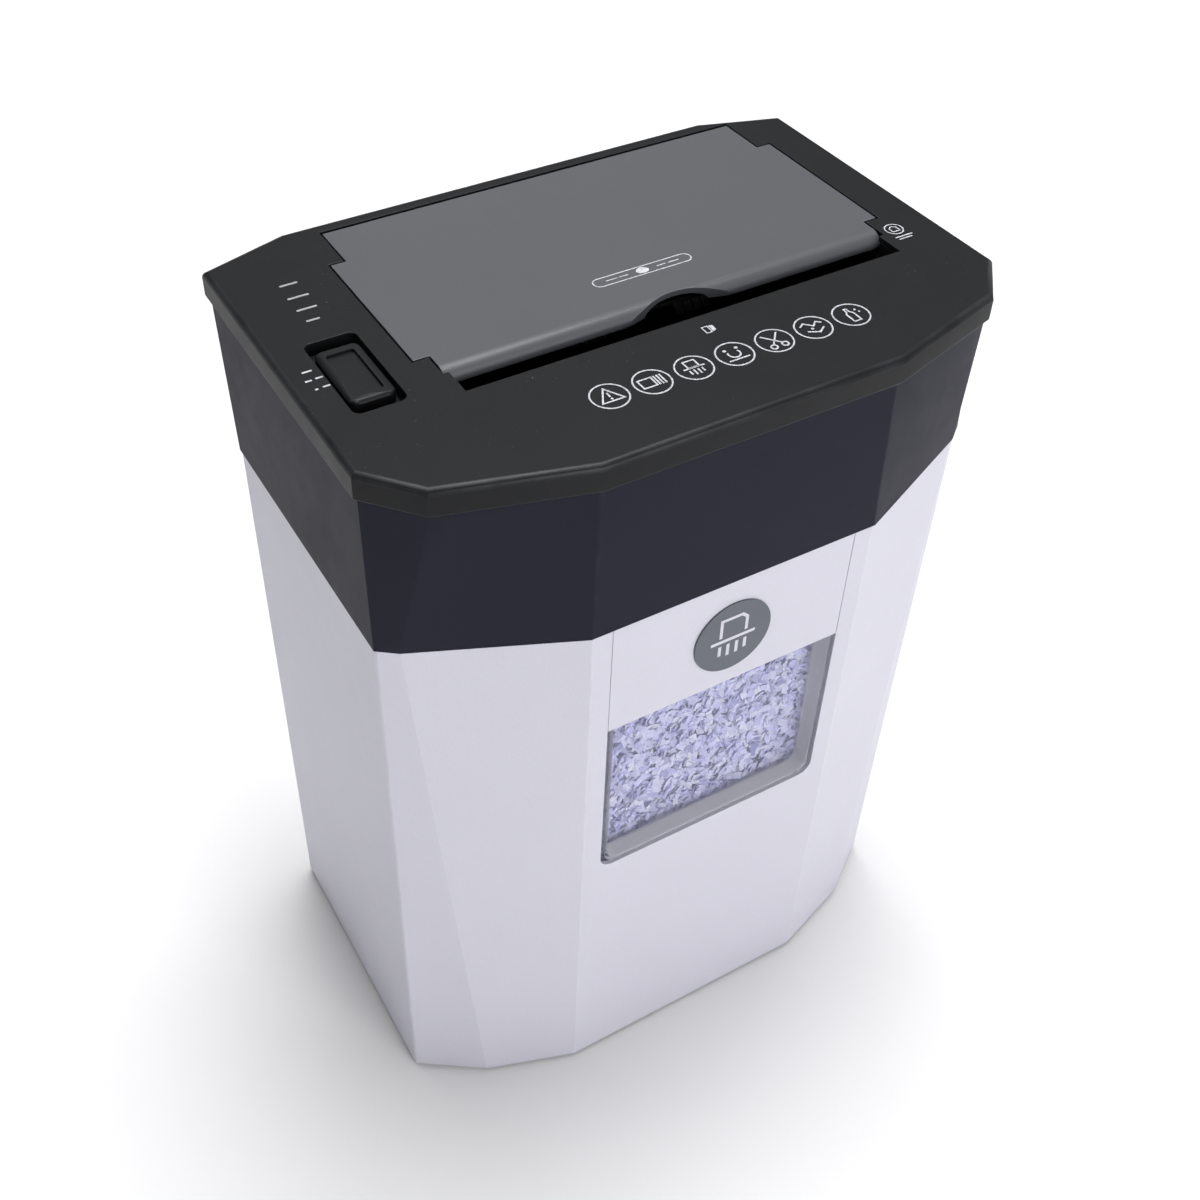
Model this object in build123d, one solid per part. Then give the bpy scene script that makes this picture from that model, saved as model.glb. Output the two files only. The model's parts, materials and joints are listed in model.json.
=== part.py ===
"""Auto-feed paper shredder: a cutter head that lifts off a tapered, windowed bin.

Millimetres, +Z up, the front faces -Y. The origin is on the floor under the middle of the body.
Each function makes one sub-part, and the last lines write them to parts/NODE.step.
"""

import os
from math import acos, atan2, cos, degrees, hypot, pi, radians, sin, tan

from build123d import *

# ---- Heights -------------------------------------------------------------------------------------
TOP_Z = 459.0  # top face of the cover
RIM_Z = 445.0  # underside of the cover's rim
SEAM_Z = 360.0  # where the head stands on the bin
BIN_Z = 2.0  # underside of the bin, held up by its feet
BASE_TOP = SEAM_Z + 3.0  # upper face of the head's base plate
LIP_Z = SEAM_Z - 8.0  # lower edge of the lip that finds the bin

# ---- Walls and gaps ------------------------------------------------------------------------------
WALL = 2.5
FLOOR = 3.0
PLATE = 3.0  # thickness of the cover's top plate and of the lid
RIM_WALL = 5.0
SHADOW_GAP = 2.0  # how far the housing stands back under the rim
BIN_SETBACK = 0.8  # how far the bin stands back under the housing
PANEL_GAP = 0.3
FIT = 0.05  # radial clearance of a shaft in its hole

# ---- Throat, tray and lid ------------------------------------------------------------------------
MID_X = 15.5  # middle of the throat, right of the body's middle
THROAT_HALF = 117.5
WELL_FRONT = -44.0
WELL_BACK = 98.0
TRAY_FLOOR = 432.0
THROAT_BOTTOM = 411.0
LID_WIDE = 127.5  # half width of the lid across its tabs
LID_NARROW = 119.5
LID_FRONT = -28.0
LID_BACK = 106.0
TAB_FRONT = -13.0
TAB_BACK = 77.0
LID_GAP = 1.0
LIP_RADIUS = 7.0
HINGE_Y = 103.0
HINGE_Z = 455.5

# ---- Window and panel in the front wall ----------------------------------------------------------
WINDOW_HALF = 68.0
WINDOW_LOW = 182.0
WINDOW_HIGH = 291.0
WINDOW_CORNER = 8.0
WINDOW_DEPTH = 8.0
PAPER_TOP = 302.0

# ---- Mode switch ---------------------------------------------------------------------------------
SWITCH_X = -137.5
SWITCH_Y = -8.0
POCKET = (25.0, 58.0)
KNOB = (21.6, 43.0)
SWITCH_TRAVEL = 7.0

EXIT_X = (-103.0, 134.0)  # paper exit in the base plate
EXIT_Y = (-78.0, 2.0)
GUARD_HOLES = 4
SCREW = 1.6

# ---- Cutting block -------------------------------------------------------------------------------
SHAFT_Z = 392.0
FRONT_Y = -53.0
REAR_Y = -23.0
JOURNAL = 6.0
CORE = 8.0
SPACER = 12.5
DISC = 17.0
DISC_WIDTH = 3.4
DISC_PITCH = 8.0
DISC_COUNT = 29
FRAME_T = 3.0
FRAME_LEFT = MID_X - 122.5  # inner faces of the two side frames
FRAME_RIGHT = MID_X + 122.5
FRAME_TOP = 436.0

# ---- Gears (teeth and module) and where their layers start along X --------------------------------
PRESSURE = radians(25)
BACKLASH = 0.16
SHAFT_TEETH, SHAFT_MODULE = 20, 1.5
BULL_TEETH = 34
SMALL_TEETH = 12
IDLER_TEETH = 16
WHEEL_TEETH, WHEEL_MODULE = 60, 1.0
PINION_TEETH = 10
LAYER_1, LAYER_2, LAYER_3 = -122.0, -134.0, -144.0
FACE_1, FACE_2, FACE_3 = 9.0, 9.0, 7.0

# ---- Axes in the YZ plane ------------------------------------------------------------------------
REAR = (REAR_Y, SHAFT_Z)
FRONT = (FRONT_Y, SHAFT_Z)
FEED = (10.0, 421.0)
FEED_RADIUS = 13.0


def polar(centre, distance, angle):
    """The point at that distance and angle (degrees from +Y towards +Z) from a centre."""
    return centre[0] + distance * cos(radians(angle)), centre[1] + distance * sin(radians(angle))


def bearing(start, end):
    """The angle in degrees from one axis to another, from +Y towards +Z."""
    return degrees(atan2(end[1] - start[1], end[0] - start[0]))


def third_corner(start, end, from_start, from_end):
    """The axis at given distances from two axes, on the upper side of the line between them."""
    span = hypot(end[0] - start[0], end[1] - start[1])
    turn = acos((from_start**2 + span**2 - from_end**2) / (2 * from_start * span))
    return polar(start, from_start, bearing(start, end) + degrees(turn))


SHAFT_PITCH = SHAFT_TEETH * SHAFT_MODULE / 2
IDLER_PITCH = IDLER_TEETH * SHAFT_MODULE / 2
REDUCTION = polar(REAR, (BULL_TEETH + SMALL_TEETH) * SHAFT_MODULE / 2, 10)
MOTOR = polar(REDUCTION, (WHEEL_TEETH + PINION_TEETH) * WHEEL_MODULE / 2, -3)
IDLER = third_corner(REAR, FEED, SHAFT_PITCH + IDLER_PITCH, 2 * IDLER_PITCH)
MOTOR_RADIUS = 26.0
MOTOR_END = -24.0
MOTOR_SHAFT = 2.5
MOTOR_SCREWS = [(MOTOR[0], MOTOR[1] + side * 17) for side in (-1, 1)]


# ---- Outlines of the faceted body ----------------------------------------------------------------
def outline(half, side, chamfer, front, back):
    """Ten corners, anticlockwise from the back left: side, corner facet and three front facets."""
    side_front, side_back = side
    cut_x, cut_y = chamfer
    left = [
        (-half, side_back),
        (-half, side_front),
        (-half + cut_x, side_front - cut_y),
        (-front[0], front[1]),
    ]
    right = [(-x, y) for x, y in reversed(left)]
    return left + right + [(back[0], back[1]), (-back[0], back[1])]


RIM = outline(167.5, (-71.5, 102.0), (21.7, 24.9), (77.0, -116.5), (122.0, 116.5))
SEAM = outline(166.4, (-74.1, 90.5), (9.4, 7.0), (78.5, -115.3), (128.0, 108.5))
BASE = outline(165.0, (-69.3, 93.5), (35.7, 24.1), (78.8, -110.3), (122.0, 106.0))


def inset(corners, distance):
    """The outline moved inwards by a distance, corner for corner."""
    moved = []
    for i, corner in enumerate(corners):
        here = Vector(*corner)
        arriving = (here - Vector(*corners[i - 1])).normalized()
        leaving = (Vector(*corners[(i + 1) % len(corners)]) - here).normalized()
        normal_in = Vector(-arriving.Y, arriving.X)
        normal_out = Vector(-leaving.Y, leaving.X)
        shifted = here + (normal_in + normal_out) * (distance / (1 + normal_in.dot(normal_out)))
        moved.append((shifted.X, shifted.Y))
    return moved


def between(lower, upper, share):
    """The outline part of the way from the lower one to the upper one."""
    return [(a[0] + (b[0] - a[0]) * share, a[1] + (b[1] - a[1]) * share) for a, b in zip(lower, upper)]


def band(lower, upper, low_z, high_z):
    """The solid between two outlines with matching corners."""
    sections = [Pos(0, 0, z) * Polygon(*pts, align=None) for pts, z in ((lower, low_z), (upper, high_z))]
    return loft(sections, ruled=True)


def bin_outline(z):
    """The bin's outer outline at a height."""
    return between(BASE, inset(SEAM, BIN_SETBACK), (z - BIN_Z) / (SEAM_Z - BIN_Z))


def bin_band(depth, low_z, high_z):
    """The bin's form set in by a depth, between two heights."""
    return band(inset(bin_outline(low_z), depth), inset(bin_outline(high_z), depth), low_z, high_z)


# ---- Small helpers -------------------------------------------------------------------------------
def block(x, y, z):
    """A box given by its low and high X, Y and Z."""
    size = [high - low for low, high in (x, y, z)]
    return Pos(x[0], y[0], z[0]) * Box(*size, align=(Align.MIN, Align.MIN, Align.MIN))


def rod(axis, radius, low_x, high_x):
    """A cylinder along X on an axis given as (y, z)."""
    return Plane((low_x, *axis), x_dir=(0, 1, 0), z_dir=(1, 0, 0)) * Cylinder(
        radius, high_x - low_x, align=(Align.CENTER, Align.CENTER, Align.MIN)
    )


def post(x, y, radius, low_z, high_z):
    """An upright cylinder."""
    return Pos(x, y, low_z) * Cylinder(
        radius, high_z - low_z, align=(Align.CENTER, Align.CENTER, Align.MIN)
    )


def side_view(points, low_x, high_x):
    """A profile of (y, z) points drawn out along X."""
    plane = Plane((low_x, 0, 0), x_dir=(0, 1, 0), z_dir=(1, 0, 0))
    return extrude(plane * Polygon(*points, align=None), high_x - low_x)


def rounded_plate(centre, size, radius, low_z, high_z):
    """A flat plate with rounded corners."""
    sketch = Pos(centre[0], centre[1], low_z) * RectangleRounded(size[0], size[1], radius)
    return extrude(sketch, high_z - low_z)


# ---- Gears ---------------------------------------------------------------------------------------
def involute(angle):
    """The involute function of an angle in radians."""
    return tan(angle) - angle


def gear_corners(teeth, module, phase):
    """Corners of a spur gear whose first tooth points at the phase angle in degrees."""
    pitch = teeth * module / 2
    base = pitch * cos(PRESSURE)
    root = pitch - 1.05 * module
    tip = pitch + 0.8 * module
    foot = max(base, root)
    radii = [foot, (foot + tip) / 2, tip]
    if root < base:
        radii.insert(0, root)
    at_pitch = (pi * module / 2 - BACKLASH) / (2 * pitch) + involute(PRESSURE)
    halves = [at_pitch - involute(acos(min(1.0, base / r))) for r in radii]
    corners = []
    for tooth in range(teeth):
        middle = radians(phase) + 2 * pi * tooth / teeth
        rising = [(r, middle - half) for r, half in zip(radii, halves)]
        falling = [(r, middle + half) for r, half in zip(radii, halves)]
        corners += [(r * cos(a), r * sin(a)) for r, a in rising + falling[::-1]]
    return corners


def gear(axis, teeth, module, low_x, width, bore, phase):
    """A spur gear along X with a bored hub."""
    plane = Plane((low_x, *axis), x_dir=(0, 1, 0), z_dir=(1, 0, 0))
    face = plane * Polygon(*gear_corners(teeth, module, phase), align=None)
    return extrude(face, width) - rod(axis, bore, low_x - 1, low_x + width + 1)


def meshed(first, teeth_first, phase_first, second, teeth_second):
    """The second gear's phase that puts its tooth in the first gear's space on the line between them."""
    line = bearing(first, second)
    turned = (line - phase_first) * teeth_first / 360
    return line + 180 - (0.5 - turned) * 360 / teeth_second


REAR_PHASE = 0.0
FRONT_PHASE = meshed(REAR, SHAFT_TEETH, REAR_PHASE, FRONT, SHAFT_TEETH)
IDLER_PHASE = meshed(REAR, SHAFT_TEETH, REAR_PHASE, IDLER, IDLER_TEETH)
FEED_PHASE = meshed(IDLER, IDLER_TEETH, IDLER_PHASE, FEED, IDLER_TEETH)
SMALL_PHASE = meshed(REAR, BULL_TEETH, REAR_PHASE, REDUCTION, SMALL_TEETH)
WHEEL_PHASE = 0.0
PINION_PHASE = meshed(REDUCTION, WHEEL_TEETH, WHEEL_PHASE, MOTOR, PINION_TEETH)


# ---- Bin -----------------------------------------------------------------------------------------
def window_opening(grow, low_y, high_y):
    """The window's outline with rounded lower corners, drawn out from low_y to high_y."""
    width = 2 * (WINDOW_HALF + grow)
    height = WINDOW_HIGH - WINDOW_LOW + 2 * grow
    middle = (WINDOW_HIGH + WINDOW_LOW) / 2
    plate = block(
        (-width / 2, width / 2), (low_y, high_y), (middle - height / 2, middle + height / 2)
    )
    lower = plate.edges().filter_by(Axis.Y).group_by(Axis.Z)[0]
    return fillet(lower, WINDOW_CORNER + grow)


def window_pocket(grow, depth):
    """The tapered pocket that the window pushes into the bin, from ahead of the front wall."""
    mouth_y, pane_y = -125.0, -112.5 + depth
    slope = 3.0 / WINDOW_DEPTH
    sections = []
    for y in (mouth_y, pane_y):
        shrink = max(0.0, (y + 112.5) * slope) - grow
        half, low = WINDOW_HALF - shrink, WINDOW_LOW + shrink
        high = WINDOW_HIGH + max(grow, 0)
        face = Polygon((-half, low), (half, low), (half, high), (-half, high), align=None)
        face = fillet(face.vertices().group_by(Axis.Y)[0], WINDOW_CORNER)
        sections.append(Plane((0, y, 0), x_dir=(1, 0, 0), z_dir=(0, -1, 0)) * face)
    return loft(sections, ruled=True)


def make_bin_shell():
    """White tub with a floor, an open top, the front cut-out, the foot pads' seats and the key rib."""
    tub = bin_band(0, BIN_Z, SEAM_Z) - bin_band(WALL, BIN_Z + FLOOR, SEAM_Z)
    cut = window_opening(0, -130, -95)
    above = block((-WINDOW_HALF, WINDOW_HALF), (-130, -95), (WINDOW_HIGH - 20, SEAM_Z + 1))
    key = block((-163.6, -151), (KEY_Y - 3, KEY_Y + 3), (325, KEY_TOP))
    return tub - cut - above + key


def make_front_panel():
    """White panel closing the front wall above the window."""
    wall = bin_band(0, WINDOW_HIGH, SEAM_Z) - bin_band(WALL, WINDOW_HIGH, SEAM_Z)
    half = WINDOW_HALF - PANEL_GAP
    window_top = WINDOW_HIGH + PANEL_GAP
    return wall & block((-half, half), (-130, -95), (window_top, SEAM_Z - 0.1))


def make_bin_window():
    """Clear pocket that stands back from the front wall, with a flange behind the wall."""
    pocket = window_pocket(-PANEL_GAP / 2, WINDOW_DEPTH + 2) - window_pocket(-PANEL_GAP / 2 - 2, WINDOW_DEPTH)
    window = pocket & bin_band(0.3, WINDOW_LOW - 20, WINDOW_HIGH + 10)
    low, high = WINDOW_LOW - 6, WINDOW_HIGH
    flange = bin_band(WALL, low, high) - bin_band(WALL + 1.5, low, high)
    flange &= block((-WINDOW_HALF - 6, WINDOW_HALF + 6), (-130, -95), (low, high))
    return window + (flange - window_pocket(-PANEL_GAP / 2 - 1, WINDOW_DEPTH))


def make_front_badge():
    """Round badge glued on the front panel."""
    plane = Plane((0, BADGE_Y, BADGE_Z), x_dir=(1, 0, 0), z_dir=(0, -1, 0))
    return extrude(plane * Circle(BADGE_RADIUS), 2.0) - bin_band(0, WINDOW_HIGH, SEAM_Z)


def make_shredded_paper():
    """The heap of cut paper that fills the bin to just above the window."""
    clear = 0.4
    heap = bin_band(WALL + clear, BIN_Z + FLOOR, PAPER_TOP)
    heap -= block((-WINDOW_HALF - 7, WINDOW_HALF + 7), (-130, -107), (WINDOW_LOW - 7, PAPER_TOP + 1))
    return heap - window_pocket(clear, WINDOW_DEPTH + 2 + clear)


def make_bin_feet():
    """Four rubber feet under the bin."""
    spots = [(sx * 120, y) for sx in (-1, 1) for y in (-62, 74)]
    return [post(x, y, 9, 0, BIN_Z) for x, y in spots]


# ---- Head casing ---------------------------------------------------------------------------------
def lid_outline(gap, back_gap):
    """The lid's stepped outline, grown by a gap."""
    wide, narrow = LID_WIDE + gap, LID_NARROW + gap
    left = [
        (-narrow, LID_BACK + back_gap),
        (-narrow, TAB_BACK + gap),
        (-wide, TAB_BACK + gap),
        (-wide, TAB_FRONT - gap),
        (-narrow, TAB_FRONT - gap),
        (-narrow, LID_FRONT),
    ]
    right = [(-x, y) for x, y in reversed(left)]
    return [(MID_X + x, y) for x, y in left + right]


SCREW_SPOTS = [(sx * 154, y) for sx in (-1, 1) for y in (-60, 82)]
FRAME_SCREWS = [(-115, -70), (-115, 66), (145, -70), (145, 22)]
# light bars: middle x, y and length
INDICATORS = [(-136.0, 71, 9.0), (-136.0, 59, 10.6), (-136.3, 48, 10.0), (-137.4, 38, 6.6)]
BAR_WIDE = 1.4
KEY_X, KEY_Y, KEY_TOP = -154.0, 60.0, 351.6
BADGE_Y, BADGE_Z, BADGE_RADIUS = -113.2, 324.0, 24.0


def make_top_cover():
    """Black cover with a bevelled rim, the lid's opening, the switch pocket and the screw bosses."""
    body = band(RIM, RIM, RIM_Z, TOP_Z)
    body = chamfer(body.edges().group_by(Axis.Z)[-1], 2.0)
    hollow = inset(RIM, RIM_WALL)
    body -= band(hollow, hollow, RIM_Z, TOP_Z - PLATE)
    opening = extrude(Pos(0, 0, RIM_Z) * Polygon(*lid_outline(LID_GAP, 2.0), align=None), 20)
    well = block(
        (MID_X - THROAT_HALF, MID_X + THROAT_HALF), (WELL_FRONT, LID_FRONT + 1), (RIM_Z, TOP_Z + 1)
    )
    body = body - opening - well
    spot = (SWITCH_X, SWITCH_Y)
    tub = rounded_plate(spot, (POCKET[0] + 3, POCKET[1] + 3), 5.5, 450.5, TOP_Z - PLATE)
    body = body + tub - rounded_plate(spot, POCKET, 4, 452, TOP_Z + 1)
    body -= rounded_plate(spot, (9, 24 + 2 * SWITCH_TRAVEL), 2, 449, 453)
    for x, y, length in INDICATORS:
        body -= rounded_plate((x, y), (length, BAR_WIDE), 0.65, 455, TOP_Z + 1)
    for x, y in SCREW_SPOTS:
        body += post(x, y, 4.5, BASE_TOP, TOP_Z - PLATE) - post(x, y, SCREW, BASE_TOP - 1, BASE_TOP + 14)
    for side in (-1, 1):
        x = sorted((MID_X + side * (LID_NARROW + LID_GAP), MID_X + side * (LID_NARROW + 8)))
        body += block(x, (99.2, 106.5), (450.5, TOP_Z - PLATE)) - rod((HINGE_Y, HINGE_Z), 1.5, *x)
        body -= rod((HINGE_Y, HINGE_Z), 1.5, *x)
    return body


def make_head_housing():
    """Dark faceted housing between the cover's rim and the bin."""
    top = inset(RIM, SHADOW_GAP)
    shell = band(SEAM, top, SEAM_Z, RIM_Z) - band(inset(SEAM, WALL), inset(top, WALL), SEAM_Z, RIM_Z)
    spigot_out, spigot_in = inset(RIM, RIM_WALL + 0.2), inset(top, WALL + 2)
    shell += band(spigot_out, spigot_out, RIM_Z - 3, RIM_Z + 4)
    shell -= band(spigot_in, spigot_in, RIM_Z - 3, RIM_Z + 5)
    boss = block((GLAND_X - 12, GLAND_X + 12), (100, GLAND_FACE), (366, 392)) - band(
        inset(SEAM, WALL + 2), inset(top, WALL + 2), SEAM_Z, RIM_Z
    )
    shell += boss
    return shell - Pos(GLAND_X, GLAND_FACE + 1, GLAND_Z) * Rot(90, 0, 0) * Cylinder(
        7, 30, align=(Align.CENTER, Align.CENTER, Align.MIN)
    )


GLAND_X, GLAND_Z, GLAND_FACE = 100.0, 379.0, 113.0


def make_cord_gland():
    """Rubber gland in the rear wall where the mains lead comes in."""
    def tube(radius, start, end):
        return Pos(GLAND_X, end, GLAND_Z) * Rot(90, 0, 0) * Cylinder(
            radius, end - start, align=(Align.CENTER, Align.CENTER, Align.MIN)
        )

    gland = tube(7, 104, GLAND_FACE) + tube(9.5, GLAND_FACE, GLAND_FACE + 2.5)
    return gland - tube(3.6, 90, GLAND_FACE + 5)


def make_head_base():
    """Base plate of the head with the paper exit and the lip that finds the bin."""
    plate = band(inset(SEAM, WALL + 0.2), inset(SEAM, WALL + 0.2), SEAM_Z, BASE_TOP)
    lip_out, lip_in = inset(SEAM, 4.2), inset(SEAM, 6.2)
    lip = band(lip_out, lip_out, LIP_Z, SEAM_Z) - band(lip_in, lip_in, LIP_Z, SEAM_Z)
    plate = plate + lip
    plate -= block(EXIT_X, EXIT_Y, (SEAM_Z - 1, BASE_TOP + 1))
    plate -= post(KEY_X, KEY_Y, 2.2, SEAM_Z - 1, BASE_TOP + 1)
    for x, y in SCREW_SPOTS + FRAME_SCREWS:
        plate -= post(x, y, SCREW, SEAM_Z - 1, BASE_TOP + 1)
    return plate


def make_exit_guard():
    """Guard under the paper exit: two rails and the cross bars that stand between them."""
    low, high = SEAM_Z - 2.5, SEAM_Z
    rail_x = (EXIT_X[0] - 3, EXIT_X[1] + 3)
    bars = [
        block(rail_x, (EXIT_Y[0] - 3, EXIT_Y[0] + 1.5), (low, high)),
        block(rail_x, (EXIT_Y[1] - 1.5, EXIT_Y[1] + 3), (low, high)),
    ]
    pitch = (EXIT_X[1] - EXIT_X[0]) / GUARD_HOLES
    for i in range(GUARD_HOLES + 1):
        x = EXIT_X[0] + pitch * i
        ends = (rail_x[0] if i == 0 else x - 1.5, rail_x[1] if i == GUARD_HOLES else x + 1.5)
        bars.append(block(ends, (EXIT_Y[0] + 1.5, EXIT_Y[1] - 1.5), (low, high)))
    return bars


def make_feed_tray():
    """Tray under the lid: a flange, a well with a flat floor and the throat that leads to the cutters."""
    left, right = MID_X - THROAT_HALF, MID_X + THROAT_HALF
    top = TOP_Z - PLATE
    inner = [
        (WELL_FRONT, top + 1),
        (WELL_FRONT, 430),
        (-41, THROAT_BOTTOM - 1),
        (-35, THROAT_BOTTOM - 1),
        (-27, TRAY_FLOOR),
        (WELL_BACK, TRAY_FLOOR),
        (WELL_BACK, top + 1),
    ]
    outer = [
        (WELL_FRONT - 2, top),
        (WELL_FRONT - 2, 429.7),
        (-43.1, THROAT_BOTTOM),
        (-32.9, THROAT_BOTTOM),
        (-25.6, TRAY_FLOOR - WALL),
        (WELL_BACK + 2, TRAY_FLOOR - WALL),
        (WELL_BACK + 2, 450.3),
        (WELL_BACK, 450.3),
        (WELL_BACK, top),
    ]
    tray = side_view(outer, left - 2, right + 2)
    tray += block((MID_X - 131, MID_X + 131), (WELL_FRONT - 5, WELL_BACK), (top - 3, top))
    tray -= side_view(inner, left, right)
    for x in ROLLER_X:
        tray -= block((x - 12, x + 12), (FEED[0] - 15, FEED[0] + 15), (TRAY_FLOOR - 5, TRAY_FLOOR + 1))
    for x in ((left - 3.5, left), (right, right + 3.5)):
        tray -= block(x, (LID_FRONT - 1.5, TAB_FRONT), (448, top + 1))
    for z in (446, 440):
        tray += block((left, right), (WELL_FRONT, WELL_FRONT + 1.2), (z - 1, z + 1))
    return tray


def make_indicator_lenses():
    """Four clear light bars in the cover."""
    return [
        rounded_plate((x, y), (length, BAR_WIDE), 0.65, 454, TOP_Z + 0.1) for x, y, length in INDICATORS
    ]


def make_indicator_board():
    """Small circuit board with four lamps under the light bars."""
    board = block((-150, -126), (32, 78), (446, 447.6))
    for x, y, _ in INDICATORS:
        board += block((x - 2.5, x + 2.5), (y - 1.5, y + 1.5), (447.6, 453.7))
    return board


def make_cover_screws():
    """Four screws that hold the base plate to the cover's bosses, from below."""
    screws = []
    for x, y in SCREW_SPOTS:
        head = post(x, y, 3.2, SEAM_Z - 2.2, SEAM_Z) - post(x, y, 1.2, SEAM_Z - 3, SEAM_Z - 1)
        screws.append(head + post(x, y, SCREW, SEAM_Z, BASE_TOP + 13))
    return screws


# ---- Lid -----------------------------------------------------------------------------------------
def finger_notch():
    """The notch's outline: a smooth hollow in the lid's front edge."""
    steps = [NOTCH_WIDE * (i / 16 - 0.5) for i in range(17)]
    curve = [(x, NOTCH_DEEP * (1 + cos(2 * pi * x / NOTCH_WIDE)) / 2) for x in steps]
    corners = [(NOTCH_X + x, LID_FRONT - 0.05 + depth) for x, depth in curve]
    return Polygon((corners[-1][0], LID_FRONT - 5), *corners[::-1], (corners[0][0], LID_FRONT - 5), align=None)


NOTCH_X, NOTCH_WIDE, NOTCH_DEEP = MID_X + 2.0, 64.0, 7.0


def make_lid_panel():
    """Grey lid with side tabs, a front lip rolled down, a finger notch and two hinge knuckles."""
    under = TOP_Z - PLATE
    panel = extrude(Pos(0, 0, under) * Polygon(*lid_outline(0, 0), align=None), PLATE)
    centre_y, centre_z = LID_FRONT + LIP_RADIUS, TOP_Z - LIP_RADIUS
    span = (MID_X - LID_NARROW, MID_X + LID_NARROW)
    panel -= block(span, (LID_FRONT - 1, centre_y), (under - 1, TOP_Z + 1))
    roll = rod((centre_y, centre_z), LIP_RADIUS, *span) - rod((centre_y, centre_z), LIP_RADIUS - PLATE, *span)
    roll &= block(span, (LID_FRONT - 1, centre_y), (centre_z, TOP_Z + 1))
    panel += roll
    panel -= extrude(Pos(0, 0, centre_z - 1) * finger_notch(), LIP_RADIUS + 2)
    for side in (-1, 1):
        x = sorted((MID_X + side * LID_NARROW, MID_X + side * (LID_NARROW - 9)))
        knuckle = rod((HINGE_Y, HINGE_Z), 3.3, *x)
        panel += knuckle
        panel -= rod((HINGE_Y, HINGE_Z), 1.5 + FIT, *x)
    return panel


def make_hinge_pins():
    """Two short pins that join the lid to the cover."""
    pins = []
    for side in (-1, 1):
        x = sorted((MID_X + side * (LID_NARROW + 8), MID_X + side * (LID_NARROW - 8)))
        pins.append(rod((HINGE_Y, HINGE_Z), 1.5, *x))
    return pins


PLATE_X = (MID_X - 78, MID_X + 78)
PLATE_Y = (-12, 62)
GUIDES = [(MID_X + sx * 60, y) for sx in (-1, 1) for y in (0, 50)]


def make_pressure_plate():
    """Sprung plate under the lid that holds the stack on the feed rollers."""
    middle = ((PLATE_X[0] + PLATE_X[1]) / 2, (PLATE_Y[0] + PLATE_Y[1]) / 2)
    size = (PLATE_X[1] - PLATE_X[0], PLATE_Y[1] - PLATE_Y[0])
    plate = rounded_plate(middle, size, 8, 444.5, 446.5)
    for x, y in GUIDES:
        plate += post(x, y, 1.8, 446.5, 450.8)
    return plate


def make_pressure_pads():
    """Two soft pads under the pressure plate, over the feed rollers."""
    return [
        block((x - 14, x + 14), (FEED[0] - 12, FEED[0] + 12), (443, 444.5)) for x in ROLLER_X
    ]


def make_plate_guides():
    """Four sleeves under the lid in which the pressure plate slides."""
    return [
        post(x, y, 4, 449.9, TOP_Z - PLATE) - post(x, y, 1.8 + FIT, 449, TOP_Z - PLATE - 0.2)
        for x, y in GUIDES
    ]


# ---- Mode switch ---------------------------------------------------------------------------------
def make_switch_knob():
    """Sliding knob with a raised border, a dished middle and a stem through the pocket's floor."""
    spot = (SWITCH_X, SWITCH_Y)
    knob = rounded_plate(spot, KNOB, 4, 452.3, TOP_Z)
    knob = chamfer(knob.edges().group_by(Axis.Z)[-1], 1.2)
    knob -= rounded_plate(spot, (KNOB[0] - 8, KNOB[1] - 10), 1.5, TOP_Z - 1.6, TOP_Z + 1)
    return knob + block((SWITCH_X - 3.5, SWITCH_X + 3.5), (SWITCH_Y - 8, SWITCH_Y + 8), (445.5, 452.3))


def make_slide_switch():
    """Electrical slide switch on its bracket under the knob's stem."""
    body = block((SWITCH_X - 8, SWITCH_X + 8), (SWITCH_Y - 22, SWITCH_Y + 22), (432, 444))
    body -= block(
        (SWITCH_X - 3, SWITCH_X + 3), (SWITCH_Y - 16, SWITCH_Y + 16), (441, 445)
    )
    return body


# ---- Cutting block -------------------------------------------------------------------------------
def disc_places(shift):
    """Left faces of one shaft's cutting discs."""
    first = MID_X - (DISC_COUNT - 0.5) * DISC_PITCH / 2 + shift
    return [first + DISC_PITCH * i - DISC_WIDTH / 2 for i in range(DISC_COUNT)]


FRONT_DISCS = disc_places(0)
REAR_DISCS = disc_places(DISC_PITCH / 2)


def make_cutter_shaft(axis, left_end):
    """Steel shaft: a thick core between the frames and a journal at each end."""
    shaft = rod(axis, CORE, FRAME_LEFT + 1.5, FRAME_RIGHT - 1.5)
    shaft += rod(axis, JOURNAL, left_end, FRAME_RIGHT + FRAME_T + 4)
    return shaft


def make_cutter_discs(axis, lefts, turn):
    """Toothed cutting discs, each a little further round than the last."""
    hooks = 6
    step = 360 / hooks
    discs = []
    for i, left in enumerate(lefts):
        start = i * 14.0 * turn
        corners = []
        for hook in range(hooks):
            angle = start + turn * hook * step
            corners += [polar((0, 0), DISC - 2.6, angle), polar((0, 0), DISC, angle + turn * 0.72 * step)]
            corners += [polar((0, 0), DISC - 0.4, angle + turn * 0.84 * step)]
        plane = Plane((left, *axis), x_dir=(0, 1, 0), z_dir=(1, 0, 0))
        disc = extrude(plane * Polygon(*corners, align=None), DISC_WIDTH, dir=(1, 0, 0))
        discs.append(disc - rod(axis, CORE, left - 1, left + DISC_WIDTH + 1))
    return discs


def make_cutter_spacers(axis, lefts):
    """Rings between the cutting discs of one shaft."""
    spacers = []
    for left in lefts[:-1]:
        start, end = left + DISC_WIDTH, left + DISC_PITCH
        spacers.append(rod(axis, SPACER, start, end) - rod(axis, CORE, start - 1, end + 1))
    return spacers


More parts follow.
